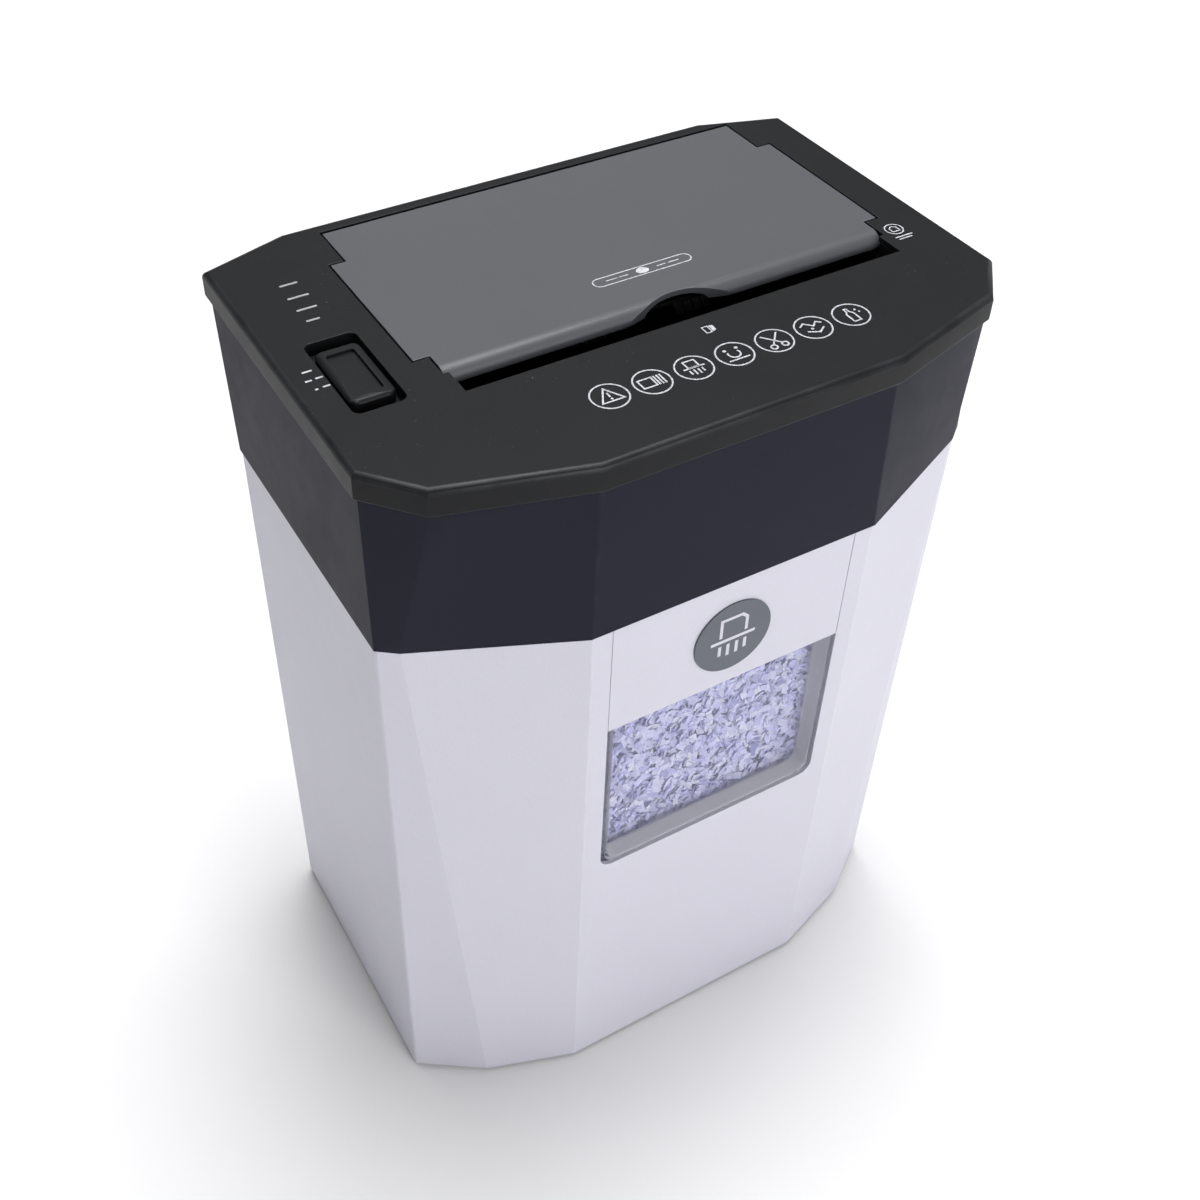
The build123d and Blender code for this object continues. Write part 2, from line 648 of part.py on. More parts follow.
def make_stripper_comb(lefts, bar_y, finger_y):
    """Comb whose fingers reach between the discs and clear the cut paper."""
    low_z, high_z = SHAFT_Z - 6, SHAFT_Z + 6
    comb = block((FRAME_LEFT, FRAME_RIGHT), bar_y, (low_z, high_z))
    for left in lefts[:-1]:
        middle = left + (DISC_WIDTH + DISC_PITCH) / 2
        comb += block((middle - 1.6, middle + 1.6), finger_y, (low_z + 2, high_z - 2))
    return comb


def make_side_frame(outer_x, inner_x, rear_y, bores):
    """Steel side plate with a foot flange, bored for the bushes and axles."""
    low_x, high_x = sorted((outer_x, inner_x))
    frame = block((low_x, high_x), (-80, rear_y), (BASE_TOP, FRAME_TOP))
    flange = sorted((outer_x, outer_x + (8 if outer_x > inner_x else -9)))
    frame += block(flange, (-80, rear_y), (BASE_TOP, BASE_TOP + 2))
    for axis, radius in bores:
        frame -= rod(axis, radius, low_x - 1, high_x + 1)
    for x, y in FRAME_SCREWS:
        frame -= post(x, y, SCREW, BASE_TOP - 1, BASE_TOP + 3)
    return frame


def make_frame_screws():
    """Four screws through the frames' feet into the base plate."""
    top = BASE_TOP + 2
    screws = []
    for x, y in FRAME_SCREWS:
        head = post(x, y, 3, top, top + 2) - post(x, y, 1.2, top + 1, top + 3)
        screws.append(head + post(x, y, SCREW, SEAM_Z, top))
    return screws


def make_motor_screws():
    """Two screws through the left frame into the motor's face."""
    outer = FRAME_LEFT - FRAME_T
    screws = []
    for axis in MOTOR_SCREWS:
        head = rod(axis, 3, outer - 2, outer) - rod(axis, 1.2, outer - 3, outer - 1)
        screws.append(head + rod(axis, SCREW, outer, FRAME_LEFT + 3))
    return screws


TIE_RODS = [(-68.0, 371.0), (-68.0, 427.0), (22.0, 371.0)]
SHAFT_BUSH = 9.0
FEED_BUSH = 6.0
FEED_SHAFT = 4.0
AXLE = 4.0
IDLER_AXLE = 3.0


def make_tie_rods():
    """Three rods that hold the side frames apart."""
    return [rod(axis, 3.5, FRAME_LEFT, FRAME_RIGHT) for axis in TIE_RODS]


def make_shaft_bushes():
    """Flanged bushes for both cutter shafts and the feed shaft, in both frames."""
    bushes = []
    seats = [(FRONT, SHAFT_BUSH, JOURNAL), (REAR, SHAFT_BUSH, JOURNAL), (FEED, FEED_BUSH, FEED_SHAFT)]
    for axis, outer, inner in seats:
        for low in (FRAME_LEFT - FRAME_T, FRAME_RIGHT):
            bushes.append(rod(axis, outer, low, low + FRAME_T) - rod(axis, inner + FIT, low - 1, low + 5))
    return bushes


def make_gear_axles():
    """Fixed pins on the left frame for the reduction gear and the idler."""
    return [
        rod(REDUCTION, AXLE, LAYER_3 - 2, FRAME_LEFT),
        rod(IDLER, IDLER_AXLE, LAYER_1 - 1.5, FRAME_LEFT),
    ]


def make_reduction_pinion():
    """Small gear of the reduction pair with a collar up to the wheel."""
    small = gear(REDUCTION, SMALL_TEETH, SHAFT_MODULE, LAYER_2, FACE_2, AXLE + FIT, SMALL_PHASE)
    collar = rod(REDUCTION, 7, LAYER_3 + FACE_3, LAYER_2) - rod(REDUCTION, AXLE + FIT, LAYER_3, LAYER_2 + 1)
    return small + collar


ROLLER_X = [MID_X - 30, MID_X + 30]


def make_feed_rollers():
    """Two ribbed rubber rollers that reach through the tray's floor."""
    rollers = []
    for x in ROLLER_X:
        roller = rod(FEED, FEED_RADIUS, x - 10, x + 10) - rod(FEED, FEED_SHAFT, x - 11, x + 11)
        for groove in (-5, 0, 5):
            ring = rod(FEED, FEED_RADIUS + 1, x + groove - 0.8, x + groove + 0.8)
            roller -= ring - rod(FEED, FEED_RADIUS - 1, x - 11, x + 11)
        rollers.append(roller)
    return rollers


# ---- Motor and electrics -------------------------------------------------------------------------
def make_motor_can():
    """Steel motor can, open at the rear end, screwed against the left frame."""
    can = rod(MOTOR, MOTOR_RADIUS, FRAME_LEFT, MOTOR_END)
    can -= rod(MOTOR, MOTOR_RADIUS - 2, FRAME_LEFT + 3, MOTOR_END + 1)
    for axis in MOTOR_SCREWS:
        can -= rod(axis, SCREW, FRAME_LEFT - 1, FRAME_LEFT + 4)
    return can - rod(MOTOR, MOTOR_SHAFT + FIT, FRAME_LEFT - 1, FRAME_LEFT + 5)


def make_motor_end_bell():
    """Moulded end of the motor with its rear bearing."""
    bell = rod(MOTOR, MOTOR_RADIUS, MOTOR_END, MOTOR_END + 9)
    bell -= rod(MOTOR, MOTOR_RADIUS - 6, MOTOR_END - 1, MOTOR_END + 6)
    return bell - rod(MOTOR, MOTOR_SHAFT + FIT, MOTOR_END, MOTOR_END + 10)


def make_motor_magnets():
    """Two curved magnets inside the can."""
    ring = rod(MOTOR, MOTOR_RADIUS - 2, -98, -34) - rod(MOTOR, MOTOR_RADIUS - 5.5, -99, -33)
    slot = block((-99, -33), (MOTOR[0] - 30, MOTOR[0] + 30), (MOTOR[1] - 8, MOTOR[1] + 8))
    return (ring - slot).solids()


def make_motor_armature():
    """Slotted armature on the motor shaft."""
    core = rod(MOTOR, 19.5, -94, -40) - rod(MOTOR, MOTOR_SHAFT, -95, -39)
    for i in range(8):
        slot = block((-95, -39), (MOTOR[0] + 14, MOTOR[0] + 21), (MOTOR[1] - 1.5, MOTOR[1] + 1.5))
        core -= slot.rotate(Axis((0, *MOTOR), (1, 0, 0)), 45 * i)
    return core


def make_motor_fan():
    """Cooling fan on the rear of the motor shaft."""
    start = MOTOR_END + 12
    fan = rod(MOTOR, 6, start, start + 7) - rod(MOTOR, MOTOR_SHAFT, start - 1, start + 8)
    for i in range(8):
        blade = block((start + 1, start + 6), (MOTOR[0] + 5, MOTOR[0] + 21), (MOTOR[1] - 0.8, MOTOR[1] + 0.8))
        fan += blade.rotate(Axis((0, *MOTOR), (1, 0, 0)), 45 * i)
    return fan


BOARD_X, BOARD_Y, BOARD_Z = (45, 130), (40, 92), 370.0


def make_control_board():
    """Main circuit board on four stand-offs."""
    board = block(BOARD_X, BOARD_Y, (BOARD_Z, BOARD_Z + 1.6))
    for x in (BOARD_X[0] + 5, BOARD_X[1] - 5):
        for y in (BOARD_Y[0] + 5, BOARD_Y[1] - 5):
            board += post(x, y, 3, BASE_TOP, BOARD_Z)
    return board


def make_board_parts():
    """Transformer, relay, capacitors and a heat sink on the main board."""
    top = BOARD_Z + 1.6
    parts = [
        block((52, 80), (50, 74), (top, top + 24)),
        block((86, 101), (46, 58), (top, top + 14)),
        post(94, 72, 8, top, top + 28),
        post(112, 74, 6, top, top + 18),
    ]
    sink = block((106, 124), (46, 62), (top, top + 4))
    for i in range(4):
        sink += block((106 + 5 * i, 108 + 5 * i), (46, 62), (top + 4, top + 20))
    return parts + [sink]


def make_interlock_switch():
    """Micro switch that feels whether the head stands on the bin."""
    body = block((-160, -148), (KEY_Y - 10, KEY_Y + 10), (BASE_TOP, BASE_TOP + 12))
    return body - post(KEY_X, KEY_Y, 2 + FIT, BASE_TOP - 1, BASE_TOP + 9)


def make_interlock_plunger():
    """Sprung plunger of the micro switch."""
    return post(KEY_X, KEY_Y, 2, KEY_TOP + 0.3, BASE_TOP + 5)


# ---- Writing the parts ---------------------------------------------------------------------------
FRAME_BORES = [(FRONT, SHAFT_BUSH), (REAR, SHAFT_BUSH), (FEED, FEED_BUSH)]
LEFT_BORES = FRAME_BORES + [(REDUCTION, AXLE), (IDLER, IDLER_AXLE), (MOTOR, 6.0)]
LEFT_BORES += [(axis, SCREW) for axis in MOTOR_SCREWS]

PARTS = {
    "bin_shell": make_bin_shell(),
    "front_panel": make_front_panel(),
    "front_badge": make_front_badge(),
    "bin_window": make_bin_window(),
    "shredded_paper": make_shredded_paper(),
    "bin_feet": make_bin_feet(),
    "top_cover": make_top_cover(),
    "head_housing": make_head_housing(),
    "head_base": make_head_base(),
    "exit_guard": make_exit_guard(),
    "feed_tray": make_feed_tray(),
    "cord_gland": make_cord_gland(),
    "cover_screws": make_cover_screws(),
    "indicator_lenses": make_indicator_lenses(),
    "indicator_board": make_indicator_board(),
    "lid_panel": make_lid_panel(),
    "hinge_pins": make_hinge_pins(),
    "plate_guides": make_plate_guides(),
    "pressure_plate": make_pressure_plate(),
    "pressure_pads": make_pressure_pads(),
    "switch_knob": make_switch_knob(),
    "slide_switch": make_slide_switch(),
    "side_frame_left": make_side_frame(FRAME_LEFT - FRAME_T, FRAME_LEFT, 76, LEFT_BORES),
    "side_frame_right": make_side_frame(FRAME_RIGHT + FRAME_T, FRAME_RIGHT, 30, FRAME_BORES),
    "tie_rods": make_tie_rods(),
    "frame_screws": make_frame_screws(),
    "motor_screws": make_motor_screws(),
    "shaft_bushes": make_shaft_bushes(),
    "gear_axles": make_gear_axles(),
    "stripper_front": make_stripper_comb(FRONT_DISCS, (-79, -74), (-74, FRONT_Y - 13.2)),
    "stripper_rear": make_stripper_comb(REAR_DISCS, (-2, 3), (REAR_Y + 13.2, -2)),
    "cutter_shaft_front": make_cutter_shaft(FRONT, LAYER_1 - 1.5),
    "cutter_discs_front": make_cutter_discs(FRONT, FRONT_DISCS, -1),
    "cutter_spacers_front": make_cutter_spacers(FRONT, FRONT_DISCS),
    "cutter_gear_front": gear(
        FRONT, SHAFT_TEETH, SHAFT_MODULE, LAYER_1, FACE_1, JOURNAL, FRONT_PHASE
    ),
    "cutter_shaft_rear": make_cutter_shaft(REAR, LAYER_2 - 1.5),
    "cutter_discs_rear": make_cutter_discs(REAR, REAR_DISCS, 1),
    "cutter_spacers_rear": make_cutter_spacers(REAR, REAR_DISCS),
    "cutter_gear_rear": gear(REAR, SHAFT_TEETH, SHAFT_MODULE, LAYER_1, FACE_1, JOURNAL, REAR_PHASE),
    "bull_gear": gear(REAR, BULL_TEETH, SHAFT_MODULE, LAYER_2, FACE_2, JOURNAL, REAR_PHASE),
    "idler_gear": gear(
        IDLER, IDLER_TEETH, SHAFT_MODULE, LAYER_1, FACE_1, IDLER_AXLE + FIT, IDLER_PHASE
    ),
    "feed_shaft": rod(FEED, FEED_SHAFT, LAYER_1 - 1.5, FRAME_RIGHT + FRAME_T + 4),
    "feed_gear": gear(FEED, IDLER_TEETH, SHAFT_MODULE, LAYER_1, FACE_1, FEED_SHAFT, FEED_PHASE),
    "feed_rollers": make_feed_rollers(),
    "reduction_wheel": gear(
        REDUCTION, WHEEL_TEETH, WHEEL_MODULE, LAYER_3, FACE_3, AXLE + FIT, WHEEL_PHASE
    ),
    "reduction_pinion": make_reduction_pinion(),
    "motor_can": make_motor_can(),
    "motor_end_bell": make_motor_end_bell(),
    "motor_magnets": make_motor_magnets(),
    "motor_shaft": rod(MOTOR, MOTOR_SHAFT, LAYER_3 - 2, MOTOR_END + 20),
    "motor_armature": make_motor_armature(),
    "motor_pinion": gear(MOTOR, PINION_TEETH, WHEEL_MODULE, LAYER_3, FACE_3, MOTOR_SHAFT, PINION_PHASE),
    "motor_fan": make_motor_fan(),
    "control_board": make_control_board(),
    "board_parts": make_board_parts(),
    "interlock_switch": make_interlock_switch(),
    "interlock_plunger": make_interlock_plunger(),
}

os.makedirs("parts", exist_ok=True)
for name, shape in PARTS.items():
    solids = shape if isinstance(shape, (list, ShapeList)) else shape.solids()
    export_step(Compound(children=list(solids)), f"parts/{name}.step")
    print(name, len(solids), "solid(s)")
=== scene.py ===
# %% [markdown]
# # A paper shredder around a fixed frame
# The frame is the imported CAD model: every solid is already in its place, in metres, with its joints.
# This notebook only adds looks. It rounds the moulded edges, gives each piece its plastic, steel or
# paper, fills the bin with cut paper, and prints the small marks on the cover.

# %% Load the frame and keep its size
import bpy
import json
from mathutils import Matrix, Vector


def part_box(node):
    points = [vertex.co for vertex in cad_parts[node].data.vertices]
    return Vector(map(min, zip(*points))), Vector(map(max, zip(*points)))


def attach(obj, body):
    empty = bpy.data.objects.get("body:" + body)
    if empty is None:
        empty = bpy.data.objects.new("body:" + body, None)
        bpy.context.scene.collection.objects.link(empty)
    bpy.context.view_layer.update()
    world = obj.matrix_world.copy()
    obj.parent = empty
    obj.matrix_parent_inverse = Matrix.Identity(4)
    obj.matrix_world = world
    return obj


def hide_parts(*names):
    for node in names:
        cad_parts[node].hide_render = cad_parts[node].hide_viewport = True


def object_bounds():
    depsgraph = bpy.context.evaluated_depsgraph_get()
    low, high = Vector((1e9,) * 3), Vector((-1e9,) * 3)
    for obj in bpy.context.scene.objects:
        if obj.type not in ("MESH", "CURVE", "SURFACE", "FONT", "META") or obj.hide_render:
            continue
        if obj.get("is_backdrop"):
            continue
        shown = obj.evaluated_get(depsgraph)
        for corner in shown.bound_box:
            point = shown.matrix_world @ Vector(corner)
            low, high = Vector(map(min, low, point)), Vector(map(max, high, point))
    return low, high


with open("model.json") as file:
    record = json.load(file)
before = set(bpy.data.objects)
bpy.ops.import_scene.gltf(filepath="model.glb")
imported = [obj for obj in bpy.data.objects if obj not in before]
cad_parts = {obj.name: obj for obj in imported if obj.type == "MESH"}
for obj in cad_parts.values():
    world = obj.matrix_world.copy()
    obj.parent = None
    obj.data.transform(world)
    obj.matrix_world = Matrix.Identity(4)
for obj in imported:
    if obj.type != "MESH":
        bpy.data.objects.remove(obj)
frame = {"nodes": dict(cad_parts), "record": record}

cad_low, cad_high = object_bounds()
print("frame size in mm:", [round(1000 * (h - l), 1) for l, h in zip(cad_low, cad_high)])

# %% The rest of the toolbox
import json
from math import cos, pi, radians, sin

import bmesh
import bpy
from mathutils import Matrix, Vector, noise

MM = 0.001
scene = bpy.context.scene
nodes = frame["nodes"]
body_of = {name: body for body, names in frame["record"]["behaviour"]["bodies"].items() for name in names}
slot_of = {row["node"]: row["material_slot"] for row in frame["record"]["subparts"]}


# %% [markdown]
# ## Wiring nodes with plain arithmetic
# Shader and Geometry Nodes trees are drawn with wires. In a script a tree reads better as a sum, so
# `Wire` holds one socket and turns `+ - * /` into Math nodes. `Graph.add` makes any other node: its
# type, then its settings, then what goes into its sockets.

# %% Wire and Graph
class Wire:
    """A value on its way between two nodes."""

    def __init__(self, graph, socket):
        self.graph, self.socket = graph, socket

    def maths(self, operation, *values):
        """One Math node working on these values."""
        return self.graph.add("ShaderNodeMath", {"operation": operation}, dict(enumerate(values)))

    def output(self, name):
        """Another output of the node that this wire leaves."""
        return Wire(self.graph, find_socket(self.socket.node.outputs, name))

    def __add__(self, other):
        return self.maths("ADD", self, other)

    def __sub__(self, other):
        return self.maths("SUBTRACT", self, other)

    def __rsub__(self, other):
        return self.maths("SUBTRACT", other, self)

    def __mul__(self, other):
        return self.maths("MULTIPLY", self, other)

    def __truediv__(self, other):
        return self.maths("DIVIDE", self, other)

    def __pow__(self, other):
        return self.maths("POWER", self, other)

    __radd__ = __add__
    __rmul__ = __mul__


def find_socket(sockets, key):
    """A socket by its number, its identifier or its name."""
    if isinstance(key, int):
        return sockets[key]
    for socket in sockets:
        if socket.identifier == key:
            return socket
    return next(socket for socket in sockets if socket.name == key and socket.enabled)


class Graph:
    """A node tree that is written as a text."""

    def __init__(self, tree):
        self.tree = tree

    def add(self, kind, settings=None, sockets=None, result=0):
        """A new node: settings first, then values or wires into its sockets."""
        node = self.tree.nodes.new(kind)
        for key, value in (settings or {}).items():
            if key == "stops":
                fill_ramp(node.color_ramp, value)
            else:
                setattr(node, key, value)
        for key, value in (sockets or {}).items():
            socket = find_socket(node.inputs, key)
            if isinstance(value, Wire):
                self.tree.links.new(value.socket, socket)
            else:
                socket.default_value = value
        return Wire(self, find_socket(node.outputs, result)) if node.outputs else None


def fill_ramp(ramp, stops):
    """Set a colour ramp's stops from pairs of place and colour."""
    while len(ramp.elements) > 1:
        ramp.elements.remove(ramp.elements[-1])
    for index, (place, colour) in enumerate(stops):
        stop = ramp.elements[0] if index == 0 else ramp.elements.new(place)
        stop.position, stop.color = place, colour


print("Wire and Graph are ready")


# %% [markdown]
# ## Patterns that every finish shares
# A real surface is never one flat value. Four patterns do most of the work here: a slow cloud for
# uneven colour, a fine grain for the texture of the steel mould, a smudge map for gloss, and a
# painted highlight: a paler line along each rounded edge, standing in for the light that it catches.
# The edge line needs to know where the edges are, so the rounding step below stores a face
# attribute for the painted edge highlight.

# %% Colours and shared patterns
def paint(red, green, blue):
    """A colour as a designer writes it, 0 to 255, turned into the linear values that shaders use."""
    def linear(value):
        value /= 255
        return value / 12.92 if value <= 0.04045 else ((value + 0.055) / 1.055) ** 2.4

    return (linear(red), linear(green), linear(blue), 1.0)


def scaled(colour, amount):
    """The same colour, lighter or darker."""
    return tuple(min(1.0, part * amount) for part in colour[:3]) + (1.0,)


class Finish(Graph):
    """A material in the making, with the patterns that it is built from."""

    def __init__(self, name):
        self.material = bpy.data.materials.new(name)
        self.material.use_nodes = True
        self.material.node_tree.nodes.clear()
        super().__init__(self.material.node_tree)
        self.place = self.add("ShaderNodeTexCoord", {}, {}, "Object")

    def stretch(self, along):
        """Object coordinates squeezed or stretched along each axis."""
        return self.add("ShaderNodeMapping", {}, {"Vector": self.place, "Scale": along})

    def cloud(self, scale, detail=3.0, where=None):
        """Soft noise between 0 and 1, with so many blots to the metre."""
        sockets = {"Vector": where or self.place, "Scale": scale, "Detail": detail, "Roughness": 0.55}
        return self.add("ShaderNodeTexNoise", {}, sockets)

    def cells(self, scale, where=None):
        """Pebbled grain: the distance to the nearest of many scattered points."""
        return self.add("ShaderNodeTexVoronoi", {}, {"Vector": where or self.place, "Scale": scale})

    def step(self, value, low, high):
        """0 below low, 1 above high, smooth between."""
        sockets = {"Value": value, "From Min": low, "From Max": high}
        return self.add("ShaderNodeMapRange", {"interpolation_type": "SMOOTHSTEP"}, sockets)

    def blend(self, share, first, second, kind="MIX"):
        """Mix two colours."""
        sockets = {"Factor_Float": share, "A_Color": first, "B_Color": second}
        return self.add("ShaderNodeMix", {"data_type": "RGBA", "blend_type": kind}, sockets, "Result_Color")

    def attribute(self, name):
        """A number stored on the mesh."""
        return self.add("ShaderNodeAttribute", {"attribute_name": name}, {}, "Fac")

    def relief(self, height, depth, strength=1.0, under=None):
        """Turn a height pattern into small bumps that are depth metres deep."""
        sockets = {"Height": height, "Distance": depth, "Strength": strength}
        if under:
            sockets["Normal"] = under
        return self.add("ShaderNodeBump", {}, sockets)

    def done(self, sockets):
        """Close the material with one Principled shader."""
        shader = self.add("ShaderNodeBsdfPrincipled", {}, sockets)
        self.add("ShaderNodeOutputMaterial", {}, {"Surface": shader})
        return self.material


print("white in linear light:", [round(v, 3) for v in paint(235, 235, 240)])


# %% [markdown]
# ## Moulded plastics
# The case is injection-moulded ABS. Its mould is spark-eroded, which leaves a pebbled grain of about
# half a millimetre that kills reflections on the black cover. The white tub has a finer grain and a
# softer sheen. One function makes them all; what differs is the colour, the grain and the gloss.

# %% One function for every moulded plastic
def moulded(name, colour, rough, grain, depth, highlight_colour, cloudiness=0.10, dust=0.0, shine=0.5):
    """Moulded plastic: grain size and depth in metres; the last colour is a painted highlight along rounded edges.
    """
    f = Finish(name)
    slow, middle = f.cloud(9, 2), f.cloud(55, 4)
    pebble = f.cells(1 / grain)
    fine = f.cloud(2.2 / grain, 2)
    tone = f.blend(slow, scaled(colour, 1 - cloudiness), scaled(colour, 1 + cloudiness))
    tone = f.blend(f.step(pebble, 0.15, 0.7) * 0.22, tone, scaled(colour, 0.72))
    # Painted highlight: rounded edges turn paler, standing in for the light that they catch.
    edge = f.attribute("edge_wear")
    painted_highlight = edge * f.step(f.cloud(60, 4), 0.25, 0.8) * 0.4
    tone = f.blend(painted_highlight, tone, highlight_colour)
    if dust:
        up = f.add("ShaderNodeSeparateXYZ", {}, {0: f.add("ShaderNodeNewGeometry", {}, {}, "Normal")}, "Z")
        specks, patches = f.step(f.cloud(900, 2), 0.70, 0.78), f.step(f.cloud(30, 3), 0.45, 0.7)
        flecks = specks * patches * f.step(up, 0.6, 0.95)
        tone = f.blend(flecks * dust, tone, paint(170, 170, 172))
    gloss = rough + (middle - 0.5) * 0.12 + (f.cloud(23, 5) - 0.5) * 0.10 - edge * 0.06
    height = pebble * 0.7 + fine * 0.5
    bumps = f.relief(height, depth, 0.8)
    return f.done({"Base Color": tone, "Roughness": gloss, "Normal": bumps, "Specular IOR Level": shine})


print("the plastics' recipe takes a name, a colour, a roughness and a grain")

# %% The plastics of this shredder
# The sixth colour in each call is the painted edge highlight.
finishes = {
    "black_cover": moulded(
        "black_cover", paint(17, 18, 20), 0.48, 0.0006, 3e-5, paint(52, 54, 58), 0.10, 0.4, 0.20
    ),
    "dark_housing": moulded(
        "dark_housing", paint(38, 38, 49), 0.46, 0.0005, 2e-5, paint(58, 58, 68), 0.10, 0.0, 0.05
    ),
    "lid_grey": moulded(
        "lid_grey", paint(75, 77, 81), 0.42, 0.0005, 2e-5, paint(120, 124, 132), 0.05, 0.3, 0.35
    ),
    "white_shell": moulded(
        "white_shell", paint(209, 208, 220), 0.44, 0.0005, 1.2e-5, paint(224, 224, 230), 0.03
    ),
    "badge_grey": moulded(
        "badge_grey", paint(86, 91, 101), 0.36, 0.0007, 1e-5, paint(130, 138, 146), 0.05
    ),
    "switch_moulding": moulded(
        "switch_moulding", paint(72, 72, 76), 0.45, 0.0006, 2e-5, paint(110, 110, 114)
    ),
    "comb_plastic": moulded(
        "comb_plastic", paint(80, 80, 84), 0.52, 0.0006, 2e-5, paint(120, 120, 124)
    ),
    "gear_plastic": moulded(
        "gear_plastic", paint(214, 210, 196), 0.40, 0.0008, 1e-5, paint(232, 230, 220), 0.04
    ),
    "foot_rubber": moulded(
        "foot_rubber", paint(46, 46, 48), 0.80, 0.0009, 4e-5, paint(84, 84, 86), 0.18
    ),
    "roller_rubber": moulded(
        "roller_rubber", paint(58, 58, 62), 0.74, 0.0007, 4e-5, paint(96, 96, 98), 0.18
    ),
}
print("plastics:", ", ".join(finishes))


# %% [markdown]
# ## Steel, brass and iron
# The works under the cover are turned, ground or pressed metal. A turned shaft shows fine rings
# along its axis, a pressed frame has straight rolling lines, and a cast gear is dull and speckled.
# A Mapping node squeezes the noise along one axis to draw those lines.

# %% Metals
def metal(name, colour, rough, lines, depth, oil):
    """Metal with tool marks: lines stretch the noise along each axis, oil is the tint of its film."""
    f = Finish(name)
    marks = f.cloud(30, 4, f.stretch(lines))
    film = f.cloud(40, 4)
    tone = f.blend(marks, scaled(colour, 0.82), scaled(colour, 1.12))
    tone = f.blend(f.step(film, 0.5, 0.75) * 0.5, tone, oil)
    gloss = rough + (marks - 0.5) * 0.22 + (film - 0.5) * 0.15
    return f.done(
        {"Base Color": tone, "Metallic": 1.0, "Roughness": gloss, "Normal": f.relief(marks, depth, 0.6)}
    )


oil_brown = paint(120, 104, 84)
finishes.update(
    frame_steel=metal("frame_steel", paint(176, 178, 182), 0.38, (1, 1, 24), 2e-5, paint(150, 152, 150)),
    shaft_steel=metal("shaft_steel", paint(184, 186, 190), 0.30, (30, 1, 1), 1e-5, oil_brown),
    cutter_steel=metal("cutter_steel", paint(160, 162, 168), 0.34, (30, 2, 2), 2e-5, oil_brown),
    gear_steel=metal("gear_steel", paint(130, 130, 134), 0.44, (6, 4, 4), 2e-5, oil_brown),
    screw_steel=metal("screw_steel", paint(196, 197, 200), 0.24, (3, 3, 20), 1e-5, paint(170, 170, 170)),
    bush_brass=metal("bush_brass", paint(206, 168, 96), 0.32, (24, 2, 2), 1e-5, paint(130, 96, 56)),
    magnet_iron=metal("magnet_iron", paint(96, 96, 100), 0.56, (5, 5, 5), 3e-5, paint(80, 76, 72)),
)
print("metals:", len(finishes) - 10)


# %% [markdown]
# ## Clear parts, the board and the paper
# The window is a clear pocket: one sees through its back pane, while its side walls and sill are
# looked at along their length and read as grey. That grey is a painted reflection, the look of clear
# plastic at a glancing angle: it takes two materials on one piece, the walls' one a nearly opaque
# grey, chosen by the way a face looks. The light bars glow very faintly, like lamps behind frosted
# plastic. The circuit board has copper lines under green varnish.

# %% Clear window, light bars and circuit board
def clear_plastic(name, colour, rough, clarity):
    """See-through plastic with faint haze: clarity 1 can't be seen at all."""
    f = Finish(name)
    haze = f.cloud(26, 4)
    scuffs = f.step(f.cloud(60, 5, f.stretch((1, 1, 6))), 0.56, 0.74)
    body = (1 - clarity) + scuffs * 0.05 + (haze - 0.5) * 0.05
    tone = f.blend(haze, scaled(colour, 0.92), scaled(colour, 1.06))
    normal = f.relief(f.cloud(35, 2), 1e-4, 0.25)
    sockets = {"Base Color": tone, "Roughness": rough + haze * 0.05, "Alpha": body, "Normal": normal}
    return f.done({**sockets, "IOR": 1.49})


window_pane = clear_plastic("window_pane", paint(206, 208, 236), 0.08, 0.88)
# The walls' grey is a painted reflection: the same clear plastic seen at a glancing angle, made nearly opaque.
window_wall = clear_plastic("window_wall", paint(208, 208, 212), 0.16, 0.24)
finishes["clear_window"] = window_pane

f = Finish("light_bar")
glow = f.cloud(300, 2)
finishes["light_bar"] = f.done(
    {
        "Base Color": f.blend(glow, paint(128, 130, 132), paint(150, 152, 154)),
        "Roughness": 0.30 + glow * 0.1,
        "Emission Color": f.blend(glow, paint(150, 152, 156), paint(170, 172, 176)),
        "Emission Strength": 0.05,
    }
)

f = Finish("circuit_board")
tracks = f.step(f.add("ShaderNodeTexBrick", {}, {"Vector": f.place, "Scale": 260.0}, "Fac"), 0.4, 0.6)
finishes["circuit_board"] = f.done(
    {
        "Base Color": f.blend(tracks * 0.6, paint(30, 96, 58), paint(84, 140, 84)),
        "Roughness": 0.34 + f.cloud(80, 3) * 0.2,
        "Normal": f.relief(tracks, 3e-5, 0.7),
    }
)
print("clear parts and board done")

# %% Paper and white ink
f = Finish("cut_paper")
tint = f.attribute("chip_tint")
shade = f.attribute("chip_shade")
paper = f.add(
    "ShaderNodeValToRGB",
    {
        "stops": [
            (0.00, paint(230, 230, 246)),
            (0.40, paint(218, 218, 247)),
            (0.70, paint(200, 200, 242)),
            (0.90, paint(238, 238, 246)),
            (1.00, paint(150, 150, 202)),
        ]
    },
    {0: tint},
)
print_marks = f.step(f.cloud(420, 3), 0.60, 0.66) * f.step(tint, 0.55, 0.75)
paper = f.blend(print_marks * 0.45, paper, paint(110, 110, 160))
# Painted shade: chips, and the heap more so, darken towards a shadow blue by their chip_shade value.
paper = f.blend(shade, paper, paint(104, 104, 160))
fibres = f.cloud(1500, 3)
finishes["cut_paper"] = f.done(
    {
        "Base Color": f.blend(fibres * 0.15, paper, paint(160, 160, 196)),
        "Roughness": 0.82 + f.cloud(300, 2) * 0.12,
        "Normal": f.relief(fibres, 2e-5, 0.6),
    }
)

